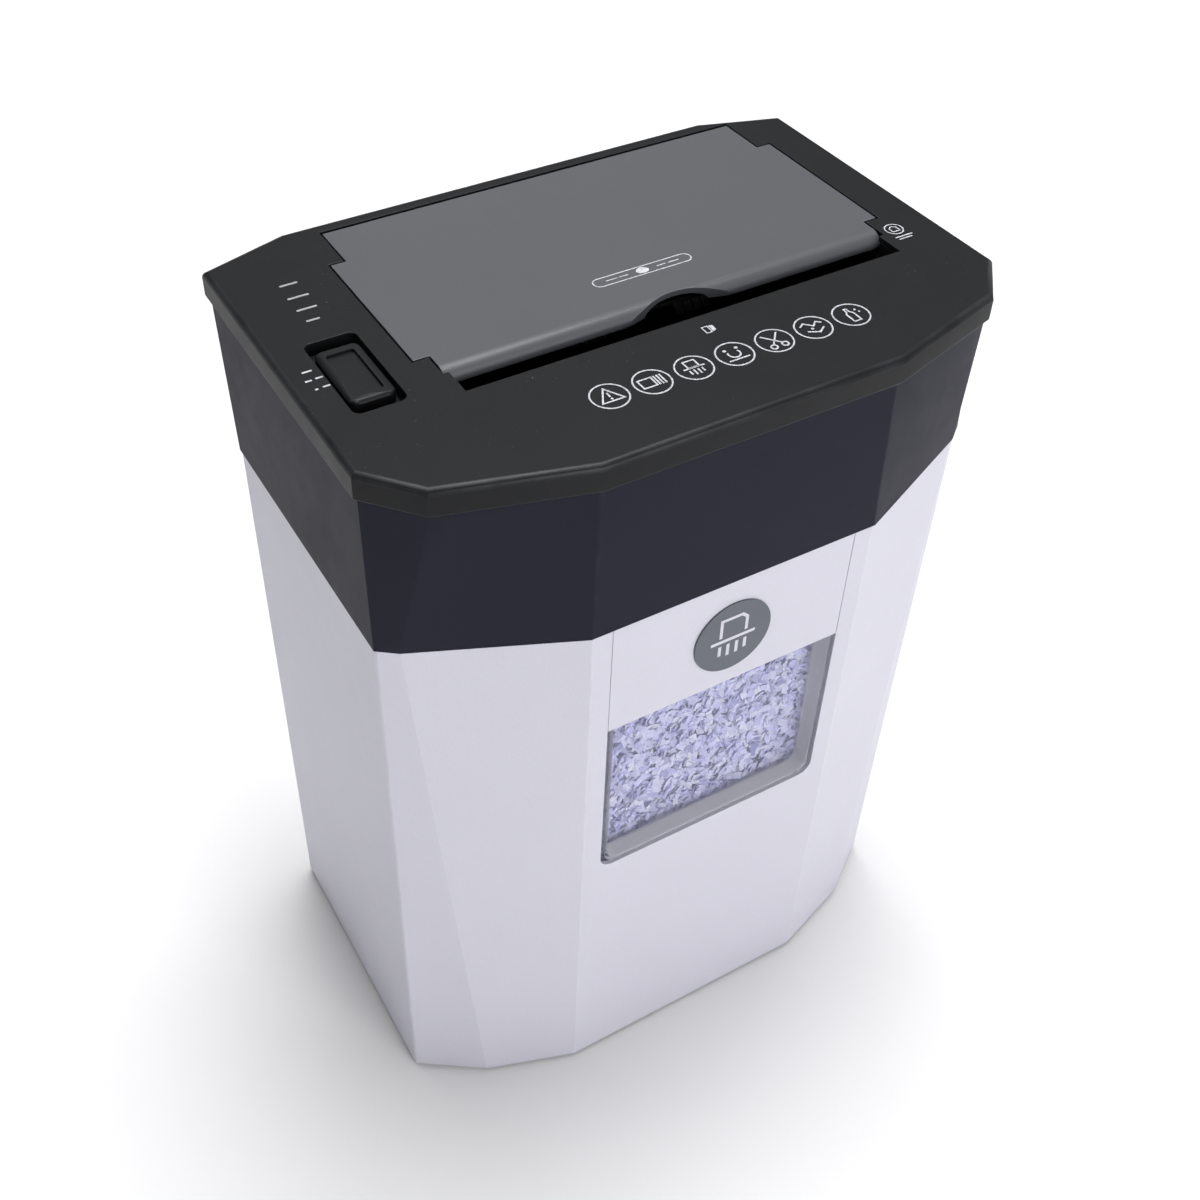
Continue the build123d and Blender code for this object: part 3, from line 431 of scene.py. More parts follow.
f = Finish("printed_ink")
cover = f.cloud(700, 4)
finishes["printed_ink"] = f.done(
    {
        "Base Color": f.blend(f.step(cover, 0.35, 0.6), paint(154, 154, 160), paint(186, 186, 192)),
        "Roughness": 0.5 + cover * 0.2,
        "Normal": f.relief(cover, 1e-5, 0.5),
    }
)
print(len(finishes), "finishes in all")

# %% Put each finish on its solids
for name, node in nodes.items():
    for slot in node.material_slots:
        slot.material = finishes[slot_of[name]]
print("every solid has its finish")


# %% [markdown]
# ## Rounding the moulded edges
# CAD edges are razor sharp, and sharp edges never catch the light. A moulded part has a radius on
# every edge: about a millimetre where big faces meet, a few tenths elsewhere. The Bevel modifier
# can take a different width for each edge from its bevel weight, so the weights are set by how
# large the two faces are and how sharply they meet. Bevel marks its new faces with a material
# number; that mark becomes the face attribute of the painted edge highlight, and the number goes
# back to zero.

# %% Make objects and plain meshes
def new_piece(name, mesh):
    """A mesh object at the origin, linked to the scene."""
    piece = bpy.data.objects.new(name, mesh)
    scene.collection.objects.link(piece)
    return piece


def baked_down(piece):
    """Apply the piece's modifiers and leave it with a plain mesh."""
    graph = bpy.context.evaluated_depsgraph_get()
    mesh = bpy.data.meshes.new_from_object(piece.evaluated_get(graph))
    piece.modifiers.clear()
    old = piece.data
    piece.data = mesh
    bpy.data.meshes.remove(old)
    return piece


def volume_of(mesh):
    """Enclosed volume in cubic centimetres, and how many edges don't have two faces."""
    solid = bmesh.new()
    solid.from_mesh(mesh)
    volume, loose = solid.calc_volume(signed=True) * 1e6, sum(len(e.link_faces) != 2 for e in solid.edges)
    solid.free()
    return volume, loose


print("helpers for pieces are ready")


# %% The rounding itself
def weigh_edges(solid, big, small):
    """Give each edge its share of the bevel width: long edges that form whole loops get all of it."""
    weight = solid.edges.layers.float.new("bevel_weight_edge")
    area = {face: face.calc_area() for face in solid.faces}
    long_edges = set()
    for edge in solid.edges:
        if len(edge.link_faces) != 2:
            continue
        angle = edge.calc_face_angle(0.0)
        smaller = min(area[face] for face in edge.link_faces)
        if angle > radians(12) and smaller > 4e-5 and edge.calc_length() > 0.02:
            long_edges.add(edge)
        if angle > radians(28) and smaller > 2e-6:
            edge[weight] = small / big
    loose = True
    while loose:
        loose = {
            edge
            for edge in long_edges
            if any(sum(other in long_edges for other in end.link_edges) < 2 for end in edge.verts)
        }
        long_edges -= loose
    for edge in long_edges:
        edge[weight] = 1.0


def finish_moulding(piece, name, volume_before):
    """Store the edge faces for the painted highlight, smooth the faces and let the piece stand for its solid."""
    mesh = piece.data
    # Bevel faces, marked by material number 1, carry the painted edge highlight.
    highlight_faces = mesh.attributes.new("edge_wear", "FLOAT", "FACE")
    highlight_faces.data.foreach_set("value", [float(face.material_index) for face in mesh.polygons])
    mesh.polygons.foreach_set("material_index", [0] * len(mesh.polygons))
    mesh.materials.pop(index=1)
    mesh.shade_smooth()
    mesh.set_sharp_from_angle(angle=radians(38))
    weighted = piece.modifiers.new("flat_faces", "WEIGHTED_NORMAL")
    weighted.keep_sharp, weighted.weight = True, 60
    baked_down(piece)
    volume, loose = volume_of(piece.data)
    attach(piece, body_of[name])
    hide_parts(name)
    print(f"{name}: {volume_before:.1f} to {volume:.1f} cm3, {loose} open edges")
    return piece


def rounded(name, big=1.0, small=0.35, steps=3):
    """Replace a solid by a copy with rounded edges; big and small are radii in millimetres."""
    node = nodes[name]
    mesh = node.data.copy()
    solid = bmesh.new()
    solid.from_mesh(mesh)
    bmesh.ops.remove_doubles(solid, verts=solid.verts, dist=1e-6)
    bmesh.ops.dissolve_limit(solid, angle_limit=radians(0.8), verts=solid.verts, edges=solid.edges)
    weigh_edges(solid, big, small)
    solid.to_mesh(mesh)
    solid.free()
    piece = new_piece(name + "_moulded", mesh)
    mesh.materials.clear()
    mesh.materials.append(finishes[slot_of[name]])
    mesh.materials.append(finishes[slot_of[name]])
    before = volume_of(mesh)
    bevel = piece.modifiers.new("edge", "BEVEL")
    bevel.limit_method, bevel.width, bevel.segments = "WEIGHT", big * MM, steps
    bevel.use_clamp_overlap, bevel.material, bevel.miter_outer = False, 1, "MITER_SHARP"
    return finish_moulding(baked_down(piece), name, before[0])


# %% Round the case
moulded_parts = {
    "top_cover": (1.2, 0.3),
    "head_housing": (1.0, 0.3),
    "front_panel": (0.15, 0.15),
    "lid_panel": (0.8, 0.3),
    "switch_knob": (0.6, 0.4),
    "feed_tray": (0.5, 0.3),
    "head_base": (0.6, 0.3),
    "front_badge": (0.5, 0.4),
    "pressure_plate": (0.5, 0.3),
    "pressure_pads": (0.5, 0.3),
    "feed_rollers": (0.6, 0.5),
    "bin_feet": (0.5, 0.4),
    "cord_gland": (0.5, 0.3),
    "side_frame_left": (0.4, 0.3),
    "side_frame_right": (0.4, 0.3),
    "motor_end_bell": (0.5, 0.3),
}
pieces = {name: rounded(name, *sizes) for name, sizes in moulded_parts.items()}

# The round badge is a little smaller than its solid.
BADGE_SHARE = 0.91
badge_centre = (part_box("front_badge")[0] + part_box("front_badge")[1]) / 2
for vertex in pieces["front_badge"].data.vertices:
    vertex.co.x = badge_centre.x + (vertex.co.x - badge_centre.x) * BADGE_SHARE
    vertex.co.z = badge_centre.z + (vertex.co.z - badge_centre.z) * BADGE_SHARE
print(len(pieces), "solids rounded")


# %% [markdown]
# ## The tub, built by its rule
# The bin is the largest face in view, and its facets twist a little on their way up, so rounding its
# CAD mesh would leave creases. Its shape follows a rule: a ten-cornered outline at the floor grows
# into another at the top. So the tub is made from that rule: the two outlines are read from the
# solid, their corners are rounded, and rings of points are stacked between them. The Boolean
# modifier then cuts the opening for the window and the front panel.

# %% Outlines and rings
def corners_at(name, level):
    """The corners of a solid's convex outline at a height, anticlockwise, in metres."""
    at_level = [v.co for v in nodes[name].data.vertices if abs(v.co.z - level) < 1e-5]
    spots = sorted({(round(spot.x, 6), round(spot.y, 6)) for spot in at_level})
    hull = []
    for ordered in (spots, spots[::-1]):
        side = []
        for x, y in ordered:
            while len(side) > 1 and turn_at(side[-2], side[-1], (x, y)) <= 1e-7:
                side.pop()
            side.append((x, y))
        hull += side[:-1]
    sharp = [p for i, p in enumerate(hull) if bend_at(hull[i - 1], p, hull[(i + 1) % len(hull)]) > radians(3)]
    return [Vector(p) for p in sharp]


def turn_at(a, b, c):
    """Positive where the path a, b, c turns left."""
    return (b[0] - a[0]) * (c[1] - b[1]) - (b[1] - a[1]) * (c[0] - b[0])


def bend_at(a, b, c):
    """The angle between the two runs."""
    return (Vector(b) - Vector(a)).angle(Vector(c) - Vector(b))


def shrunk(corners, distance):
    """The outline moved inwards."""
    result = []
    for i, here in enumerate(corners):
        first = (here - corners[i - 1]).normalized()
        second = (corners[(i + 1) % len(corners)] - here).normalized()
        inward = Vector((-first.y - second.y, first.x + second.x)).normalized()
        result.append(here + inward * distance / inward.dot(Vector((-first.y, first.x))))
    return result


def softened(corners, radius, steps=5):
    """The outline with rounded corners, each drawn with the same number of points."""
    points = []
    for i, here in enumerate(corners):
        before, after = corners[i - 1] - here, corners[(i + 1) % len(corners)] - here
        half_turn = (pi - before.angle(after)) / 2
        reach = radius * sin(half_turn) / cos(half_turn)
        start, stop = here + before.normalized() * reach, here + after.normalized() * reach
        for k in range(steps):
            t = k / (steps - 1)
            points.append((1 - t) ** 2 * start + 2 * t * (1 - t) * here + t**2 * stop)
    return points


tub_low, tub_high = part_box("bin_shell")
foot_outline, mouth_outline = corners_at("bin_shell", tub_low.z), corners_at("bin_shell", tub_high.z)
print("corners at the foot:", len(foot_outline), "at the mouth:", len(mouth_outline))


# %% Stack the rings
WALL, FLOOR_THICK, CORNER, STEPS = 2.5 * MM, 3.0 * MM, 3.0 * MM, 5


def ring_at(share, inwards, radius):
    """One ring of the tub: share runs from 0 at the foot to 1 at the mouth."""
    corners = [low.lerp(high, share) for low, high in zip(foot_outline, mouth_outline)]
    level = tub_low.z + (tub_high.z - tub_low.z) * share
    return [Vector((p.x, p.y, level)) for p in softened(shrunk(corners, inwards), radius, STEPS)]


height = tub_high.z - tub_low.z
outer = [ring_at(0, 1.2 * MM, CORNER), ring_at(0.35 * MM / height, 0.35 * MM, CORNER)]
outer += [ring_at(share, 0, CORNER) for share in (1.2 * MM / height, *[i / 14 for i in range(1, 14)])]
outer += [ring_at(1 - 0.4 * MM / height, 0, CORNER), ring_at(1, 0.4 * MM, CORNER)]
inner = [ring_at(1, WALL, CORNER - WALL / 2)]
inner += [ring_at(i / 14, WALL, CORNER - WALL / 2) for i in range(13, 0, -1)]
inner += [ring_at(FLOOR_THICK / height, WALL, CORNER - WALL / 2)]
rings = outer + inner
tub = bmesh.new()
rows = [[tub.verts.new(point) for point in ring] for ring in rings]
count = len(rows[0])
for row, (lower, upper) in enumerate(zip(rows, rows[1:])):
    for i in range(count):
        j = (i + 1) % count
        face = tub.faces.new((lower[i], lower[j], upper[j], upper[i]))
        # Index 1 marks the rounded corners and the bevelled foot, which take the painted edge highlight.
        face.material_index = int(row < len(outer) - 1 and (i % STEPS < STEPS - 1 or row < 2))
tub.faces.new(reversed(rows[0]))
tub.faces.new(rows[-1])
tub_mesh = bpy.data.meshes.new("bin_shell_moulded")
tub.to_mesh(tub_mesh)
tub.free()
for _ in range(2):
    tub_mesh.materials.append(finishes["white_shell"])
print("tub before the cuts:", volume_of(tub_mesh))

# %% Cut the window's opening and add the key rib
PANEL_GAP, OPENING_BASE, OPENING_CORNER, ABOVE_TUB = 0.3, 182.0, 8.0, 370.0
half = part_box("front_panel")[1].x / MM + PANEL_GAP
centre_x, centre_z = half - OPENING_CORNER, OPENING_BASE + OPENING_CORNER
opening = [(half, ABOVE_TUB), (-half, ABOVE_TUB)]
for angle in range(0, 91, 10):
    across, down = OPENING_CORNER * cos(radians(angle)), OPENING_CORNER * sin(radians(angle))
    opening.append((-centre_x - across, centre_z - down))
for angle in range(0, 91, 10):
    across, down = OPENING_CORNER * sin(radians(angle)), OPENING_CORNER * cos(radians(angle))
    opening.append((centre_x + across, centre_z - down))


def prism(name, outline, front, back):
    """An upright outline in X and Z, drawn out along Y; millimetres in, metres out."""
    solid = bmesh.new()
    faces = [[solid.verts.new(Vector((x, y, z)) * MM) for x, z in outline] for y in (front, back)]
    size = len(outline)
    solid.faces.new(faces[0])
    solid.faces.new(reversed(faces[1]))
    for i in range(size):
        j = (i + 1) % size
        solid.faces.new((faces[0][j], faces[0][i], faces[1][i], faces[1][j]))
    bmesh.ops.recalc_face_normals(solid, faces=solid.faces)
    mesh = bpy.data.meshes.new(name)
    solid.to_mesh(mesh)
    solid.free()
    return new_piece(name, mesh)


shell = new_piece("bin_shell_moulded", tub_mesh)
cutter = prism("opening_cutter", opening, -130, -95)
key = prism("key_rib", [(-164.4, 325), (-151, 325), (-151, 351.6), (-164.4, 351.6)], 57, 63)
for tool, operation in ((cutter, "DIFFERENCE"), (key, "UNION")):
    cut = shell.modifiers.new(operation.lower(), "BOOLEAN")
    cut.operation, cut.solver, cut.object = operation, "EXACT", tool
solid_before = volume_of(nodes["bin_shell"].data)[0]
baked_down(shell)
for tool in (cutter, key):
    bpy.data.objects.remove(tool)
pieces["bin_shell"] = finish_moulding(shell, "bin_shell", solid_before)

# %% [markdown]
# ## The clear window
# The pocket keeps its CAD shape with rounded edges. Its faces that look forwards or backwards are
# the pane and the flange; the others are walls and sill. Three low ribs stand on the sill: a small
# Geometry Nodes tree sets them out in a row.

# %% Window with a clear pane finish and a grey wall finish of painted reflection
window = rounded("bin_window", 0.2, 0.2)
window.data.materials.append(window_wall)
walls = 0
# Walls and sill, the faces not looking forwards or backwards, take the painted reflection grey.
for face in window.data.polygons:
    if abs(face.normal.y) < 0.8:
        face.material_index = 1
        walls += 1
print("window:", len(window.data.polygons), "faces, of which walls and sill", walls)


# %% A tree with named inputs, and a way to grow a mesh from it
def new_tree(name, inputs):
    """An empty Geometry Nodes tree; inputs are name: (socket type, value)."""
    tree = bpy.data.node_groups.new(name, "GeometryNodeTree")
    tree.interface.new_socket("Geometry", in_out="INPUT", socket_type="NodeSocketGeometry")
    tree.interface.new_socket("Geometry", in_out="OUTPUT", socket_type="NodeSocketGeometry")
    for label, (kind, value) in inputs.items():
        socket = tree.interface.new_socket(label, in_out="INPUT", socket_type="NodeSocket" + kind)
        socket.default_value = value
    graph = Graph(tree)
    given = graph.add("NodeGroupInput")
    return graph, {label: given.output(label) for label in ["Geometry", *inputs]}


def close_tree(graph, instances, material):
    """End a tree: make the copies real, give them a material, and hand them out."""
    real = graph.add("GeometryNodeRealizeInstances", {}, {"Geometry": instances})
    dressed = graph.add("GeometryNodeSetMaterial", {}, {"Geometry": real, "Material": material})
    graph.add("NodeGroupOutput", {}, {"Geometry": dressed})
    return graph.tree


def grow(name, tree, values, base=None):
    """Run the tree on a base mesh with these inputs and keep the result as a plain mesh."""
    piece = new_piece(name, base or bpy.data.meshes.new(name + "_base"))
    modifier = piece.modifiers.new("grow", "NODES")
    modifier.node_group = tree
    for socket in tree.interface.items_tree:
        if socket.in_out == "INPUT" and socket.name in values:
            modifier[socket.identifier] = values[socket.name]
    return baked_down(piece)


print("trees can be grown")

# %% The row tree: one bar, repeated along X
graph, given = new_tree(
    "bar_row",
    {
        "Count": ("Int", 3),
        "First": ("Vector", (0, 0, 0)),
        "Step": ("Vector", (0.01, 0, 0)),
        "Size": ("Vector", (0.001, 0.01, 0.001)),
    },
)
bar = graph.add("GeometryNodeMeshCube", {}, {"Size": given["Size"]})
line_sockets = {"Count": given["Count"], "Start Location": given["First"], "Offset": given["Step"]}
line = graph.add("GeometryNodeMeshLine", {"mode": "OFFSET"}, line_sockets)
row = graph.add("GeometryNodeInstanceOnPoints", {}, {"Points": line, "Instance": bar})
sill_tree = close_tree(graph, row, window_wall)

low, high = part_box("bin_window")
sill_y = (low.y + high.y) / 2
ribs = grow(
    "window_sill_ribs",
    sill_tree,
    {
        "Count": 3,
        "First": (-36 * MM, sill_y, 185.4 * MM),
        "Step": (38 * MM, 0.0, 0.0),
        "Size": (1.0 * MM, 6.0 * MM, 1.2 * MM),
    },
)
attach(ribs, "bin")
print("sill ribs:", len(ribs.data.polygons), "faces")

# %% [markdown]
# ## A bin full of cut paper
# A micro-cut shredder makes chips of about 3 by 9 mm. They fill the bin and press against the
# window. Thousands of separate bodies could be dropped in a simulation, but only the outer layer is
# ever seen, so a lumpy heap stands for the mass, and a Geometry Nodes tree scatters chips on the
# two places that show: behind the pane, and on top of the heap when the head is off. Each chip is a
# thin curled strip with ten faces, its own tint and a painted shade that darkens some chips like the
# shadow between them, stored as attributes that the paper reads. The heap is painted darker still.

# %% The lumpy heap
heap_mesh = nodes["shredded_paper"].data.copy()
solid = bmesh.new()
solid.from_mesh(heap_mesh)
bmesh.ops.remove_doubles(solid, verts=solid.verts, dist=1e-6)
solid.to_mesh(heap_mesh)
solid.free()
heap = new_piece("paper_heap", heap_mesh)
remesh = heap.modifiers.new("even", "REMESH")
remesh.mode, remesh.voxel_size = "VOXEL", 0.0055
baked_down(heap)
heap_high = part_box("shredded_paper")[1]
pane_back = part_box("bin_window")[1].y
# The heap stands back behind the pane, to leave room there for separate chips.
HOLLOW_HALF, HOLLOW_BASE, HOLLOW_TOP, HOLLOW_DEPTH = 80 * MM, 168 * MM, 300 * MM, 7.2 * MM
for vertex, normal in zip(heap.data.vertices, [v.normal.copy() for v in heap.data.vertices]):
    lumps = noise.noise(vertex.co * 90) * 0.5 + noise.noise(vertex.co * 210) * 0.3 + 0.6
    sink = (2.2 + 2.6 * lumps) * MM
    if vertex.co.z > heap_high.z - 8 * MM:
        sink += 7 * MM * (0.5 + noise.noise(vertex.co * 22))
    vertex.co -= normal * sink
    if abs(vertex.co.x) < HOLLOW_HALF and HOLLOW_BASE < vertex.co.z < HOLLOW_TOP:
        vertex.co.y = max(vertex.co.y, pane_back + HOLLOW_DEPTH)
heap.data.materials.clear()
heap.data.materials.append(finishes["cut_paper"])
heap.data.shade_smooth()
# The heap's fixed chip_shade paints it darker, as the shaded mass behind the outer chips.
for label, value in (("chip_tint", 0.6), ("chip_shade", 0.6)):
    layer = heap.data.attributes.new(label, "FLOAT", "POINT")
    layer.data.foreach_set("value", [value] * len(heap.data.vertices))
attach(heap, "bin")
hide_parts("shredded_paper")
print("heap:", len(heap.data.vertices), "points, volume and open edges", volume_of(heap.data))

# %% The chip tree
graph, given = new_tree(
    "paper_chips",
    {
        "Density": ("Float", 100000.0),
        "Seed": ("Int", 7),
        "Chip Size": ("Vector", (0.008, 0.003, 0.0002)),
        "Curl": ("Float", 0.0009),
        "Lay": ("Vector", (0.0, 0.0, 0.0)),
        "Least Turn": ("Vector", (0.0, 0.0, 0.0)),
        "Most Turn": ("Vector", (0.0, 0.0, 0.0)),
        "Near": ("Vector", (0.0, 0.0, 0.0)),
        "Far": ("Vector", (0.0, 0.0, 0.0)),
    },
)
strip_sockets = {"Size": given["Chip Size"], "Vertices X": 3, "Vertices Y": 2, "Vertices Z": 2}
strip = graph.add("GeometryNodeMeshCube", {}, strip_sockets)
along = graph.add("ShaderNodeSeparateXYZ", {}, {0: graph.add("GeometryNodeInputPosition")}, "X")
length = graph.add("ShaderNodeSeparateXYZ", {}, {0: given["Chip Size"]}, "X")
lift = given["Curl"] * (along / length) ** 2.0 * 4.0
bend = graph.add("ShaderNodeCombineXYZ", {}, {"Z": lift})
strip = graph.add("GeometryNodeSetPosition", {}, {"Geometry": strip, "Offset": bend})
strip = graph.add("GeometryNodeTransform", {}, {"Geometry": strip, "Rotation": given["Lay"]})


def random_value(kind, low, high, offset):
    """A random number or vector for each point; the offset keeps the draws apart."""
    names = {"FLOAT": ("Min_001", "Max_001", "Value_001"), "FLOAT_VECTOR": ("Min", "Max", "Value")}[kind]
    sockets = {names[0]: low, names[1]: high, "Seed": given["Seed"] + offset}
    return graph.add("FunctionNodeRandomValue", {"data_type": kind}, sockets, names[2])


scatter_sockets = {"Mesh": given["Geometry"], "Density": given["Density"], "Seed": given["Seed"]}
points = graph.add("GeometryNodeDistributePointsOnFaces", {}, scatter_sockets)
spread = random_value("FLOAT_VECTOR", given["Near"], given["Far"], 3)
points = graph.add("GeometryNodeSetPosition", {}, {"Geometry": points, "Offset": spread})
turn = random_value("FLOAT_VECTOR", given["Least Turn"], given["Most Turn"], 1)
size = random_value("FLOAT_VECTOR", (0.45, 0.7, 1.0), (1.1, 1.2, 1.0), 2)
chips = graph.add(
    "GeometryNodeInstanceOnPoints", {}, {"Points": points, "Instance": strip, "Rotation": turn, "Scale": size}
)
# chip_tint is each chip's own paper colour; chip_shade is painted shade, darkening some chips as if shadowed by
# their neighbours.
for label, low_value, high_value, offset in (("chip_tint", 0.0, 1.0, 5), ("chip_shade", -0.7, 0.42, 6)):
    chips = graph.add(
        "GeometryNodeStoreNamedAttribute",
        {"data_type": "FLOAT", "domain": "INSTANCE"},
        {
            "Geometry": chips,
            "Name": label,
            "Value": random_value("FLOAT", low_value, high_value, offset),
        },
    )
chip_tree = close_tree(graph, chips, finishes["cut_paper"])
print("chip tree has", len(chip_tree.nodes), "nodes")


# %% Chips behind the pane
def sheet_mesh(name, corners):
    """A single four-cornered face to scatter on."""
    mesh = bpy.data.meshes.new(name)
    mesh.from_pydata([Vector(c) * MM for c in corners], [], [(0, 1, 2, 3)])
    return mesh


front_y = pane_back / MM + 3.1
behind_pane = sheet_mesh(
    "behind_pane", [(-72, front_y, 175), (76, front_y, 175), (76, front_y, 300), (-72, front_y, 300)]
)
window_chips = grow(
    "paper_behind_pane",
    chip_tree,
    {
        "Density": 190000.0,
        "Seed": 11,
        "Chip Size": (8.6 * MM, 3.8 * MM, 0.2 * MM),
        "Lay": (radians(90), 0.0, 0.0),
        "Least Turn": (radians(-24), radians(-180), radians(-24)),
        "Most Turn": (radians(24), radians(180), radians(24)),
        "Near": (-0.5 * MM, 0.0, -0.5 * MM),
        "Far": (0.5 * MM, 4.0 * MM, 0.5 * MM),
    },
    behind_pane,
)
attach(window_chips, "bin")
depths = [v.co.y for v in window_chips.data.vertices]
gap = round((min(depths) - pane_back) / MM, 2)
print("chips behind the pane:", len(window_chips.data.polygons) // 10, "clear of it by", gap, "mm")

# %% Chips on top of the heap
top_mesh = heap.data.copy()
solid = bmesh.new()
solid.from_mesh(top_mesh)
hidden = [
    face
    for face in solid.faces
    if face.normal.z < 0.5 or face.calc_center_median().z < heap_high.z - 16 * MM
]
bmesh.ops.delete(solid, geom=hidden, context="FACES")
share = (heap_high.z - tub_low.z) / height
limit = shrunk([low.lerp(high, share) for low, high in zip(foot_outline, mouth_outline)], WALL + 5.5 * MM)
sides = list(zip(limit, limit[1:] + limit[:1]))
near_wall = [v for v in solid.verts if any(turn_at(a, b, v.co) < 0 for a, b in sides)]
bmesh.ops.delete(solid, geom=near_wall, context="VERTS")
solid.to_mesh(top_mesh)
solid.free()
top_chips = grow(
    "paper_on_top",
    chip_tree,
    {
        "Density": 85000.0,
        "Seed": 23,
        "Chip Size": (8.5 * MM, 3.2 * MM, 0.2 * MM),
        "Least Turn": (radians(-35), radians(-35), radians(-180)),
        "Most Turn": (radians(35), radians(35), radians(180)),
        "Near": (0.0, 0.0, 0.4 * MM),
        "Far": (0.0, 0.0, 3.0 * MM),
    },
    top_mesh,
)
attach(top_chips, "bin")
highest = round(max(v.co.z for v in top_chips.data.vertices) / MM, 1)
print("chips on top:", len(top_chips.data.polygons) // 10, "highest", highest)


# %% [markdown]
# ## Printed marks
# The cover carries pale pad-printed marks: seven round signs along the front, a few dashes by the
# lights and the switch, and one sign at the end of the throat. Ink is a film, so each mark is a
# thin closed mesh that stands a few hundredths of a millimetre proud of the plastic. Lines are
# ribbons with mitred corners. The seven rings are the same shape, so Geometry Nodes repeats one.
# The signs inside them are plain drawings of this notebook's own.

# %% Ribbons and plates of ink
class Ink:
    """Collects flat strokes and filled shapes, and makes one thin mesh of them."""

    def __init__(self, low, high):
        self.points, self.faces, self.low, self.high = [], [], low, high

    def ribbon(self, path, width, closed=False):
        """A line of this width through the points, with mitred corners."""
        path = [Vector(p) for p in path]
        count = len(path)
        start = len(self.points)
        for i, here in enumerate(path):
            before = path[i - 1] if closed or i else here - (path[1] - here)
            after = path[(i + 1) % count] if closed or i < count - 1 else here + (here - path[i - 1])
            first, second = (here - before).normalized(), (after - here).normalized()
            across = Vector((-(first + second).y, (first + second).x)).normalized()
            reach = width / 2 / max(0.35, across.dot(Vector((-first.y, first.x))))
            for side, level in ((1, self.high), (-1, self.high), (-1, self.low), (1, self.low)):
                spot = here + across * reach * side
                self.points.append((spot.x, spot.y, level))
        for i in range(count if closed else count - 1):
            a, b = start + 4 * i, start + 4 * ((i + 1) % count)
            self.faces += [(a + k, a + (k + 1) % 4, b + (k + 1) % 4, b + k) for k in range(4)]
        if not closed:
            last = start + 4 * (count - 1)
            self.faces += [(start + 3, start + 2, start + 1, start), (last, last + 1, last + 2, last + 3)]

    def plate(self, corners):
        """A filled shape with these corners, anticlockwise."""
        start, count = len(self.points), len(corners)
        self.points += [(x, y, self.high) for x, y in corners] + [(x, y, self.low) for x, y in corners]
        self.faces.append(tuple(start + i for i in range(count)))
        self.faces.append(tuple(start + count + i for i in reversed(range(count))))
        for i in range(count):
            j = (i + 1) % count
            self.faces.append((start + j, start + i, start + count + i, start + count + j))

    def mesh(self, name):
        """The thin mesh, in metres, with its faces turned outwards."""
        mesh = bpy.data.meshes.new(name)
        mesh.from_pydata([Vector(p) * MM for p in self.points], [], self.faces)
        solid = bmesh.new()
        solid.from_mesh(mesh)
        bmesh.ops.recalc_face_normals(solid, faces=solid.faces)
        solid.to_mesh(mesh)
        solid.free()
        mesh.materials.append(finishes["printed_ink"])
        return mesh


def arc(x, y, radius, start=0, stop=360, count=20):
    """Points along an arc, in degrees."""
    steps = count if stop - start >= 360 else count + 1
    return [
        (
            x + radius * cos(radians(start + (stop - start) * i / count)),
            y + radius * sin(radians(start + (stop - start) * i / count)),
        )
        for i in range(steps)
    ]


print("ink is ready")

# %% Seven small signs
# Each sign is a list of strokes in a circle of radius 1: (points, closed) lines and filled dots.
SIGNS = [
    (
        [([(-0.62, -0.42), (0.62, -0.42), (0, 0.66)], True), ([(0, 0.28), (0, -0.08)], False)],
        [(0, -0.24, 0.07)],
    ),
    (
        [([(-0.66, -0.34), (0.10, -0.34), (0.10, 0.36), (-0.66, 0.36)], True)]
        + [([(x, -0.38), (x, 0.40)], False) for x in (0.26, 0.44, 0.62)],
        [],
    ),
    (
        [([(-0.30, 0.62), (0.34, 0.62), (0.34, 0.06), (-0.30, 0.06)], True)]
        + [([(-0.6, 0.02), (0.64, 0.02)], False)]
        + [([(x, -0.14), (x, -0.62 + abs(x) * 0.4)], False) for x in (-0.36, -0.12, 0.12, 0.36)],
        [],
    ),
    (
        [(arc(0, 0.05, 0.34, 150, 390, 10), False), ([(-0.62, -0.46), (0.62, -0.46)], False)],
        [(-0.34, 0.44, 0.1), (0.36, 0.44, 0.1)],
    ),
    (
        [([(-0.5, 0.6), (0.26, -0.3)], False), ([(0.5, 0.6), (-0.26, -0.3)], False)]
        + [(arc(0.34, -0.48, 0.18, 0, 360, 10), True), (arc(-0.34, -0.48, 0.18, 0, 360, 10), True)],
        [],
    ),
    (
        [([(-0.62, 0.30), (-0.30, 0.52), (0.10, 0.10), (0.42, 0.40), (0.66, 0.18)], False)]
        + [([(-0.5, -0.2), (0.1, -0.5), (0.56, -0.18)], False)],
        [(-0.1, -0.08, 0.09)],
    ),
    (
        [([(-0.22, -0.60), (0.22, -0.60), (0.22, 0.10), (0.08, 0.30), (0.08, 0.56)], False)]
        + [([(0.08, 0.56), (-0.08, 0.56), (-0.08, 0.30), (-0.22, 0.10), (-0.22, -0.60)], False)],
        [(0.46, 0.3, 0.08), (0.56, 0.06, 0.06)],
    ),
]
cover_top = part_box("top_cover")[1].z / MM
INK_LOW, INK_HIGH = cover_top - 0.12, cover_top + 0.05
RING_X, RING_Y, RING_STEP, RING_RADIUS, LINE = -50.8, -77.0, 21.37, 8.7, 0.80
marks = Ink(INK_LOW, INK_HIGH)
for index, (lines, dots) in enumerate(SIGNS):
    middle = Vector((RING_X + RING_STEP * index, RING_Y))
    for path, closed in lines:
        marks.ribbon([middle + Vector(p) * RING_RADIUS for p in path], LINE, closed)
    for x, y, radius in dots:
        spot = middle + Vector((x, y)) * RING_RADIUS
        marks.plate(arc(spot.x, spot.y, radius * RING_RADIUS, 0, 360, 10))
print("signs drawn:", len(SIGNS))

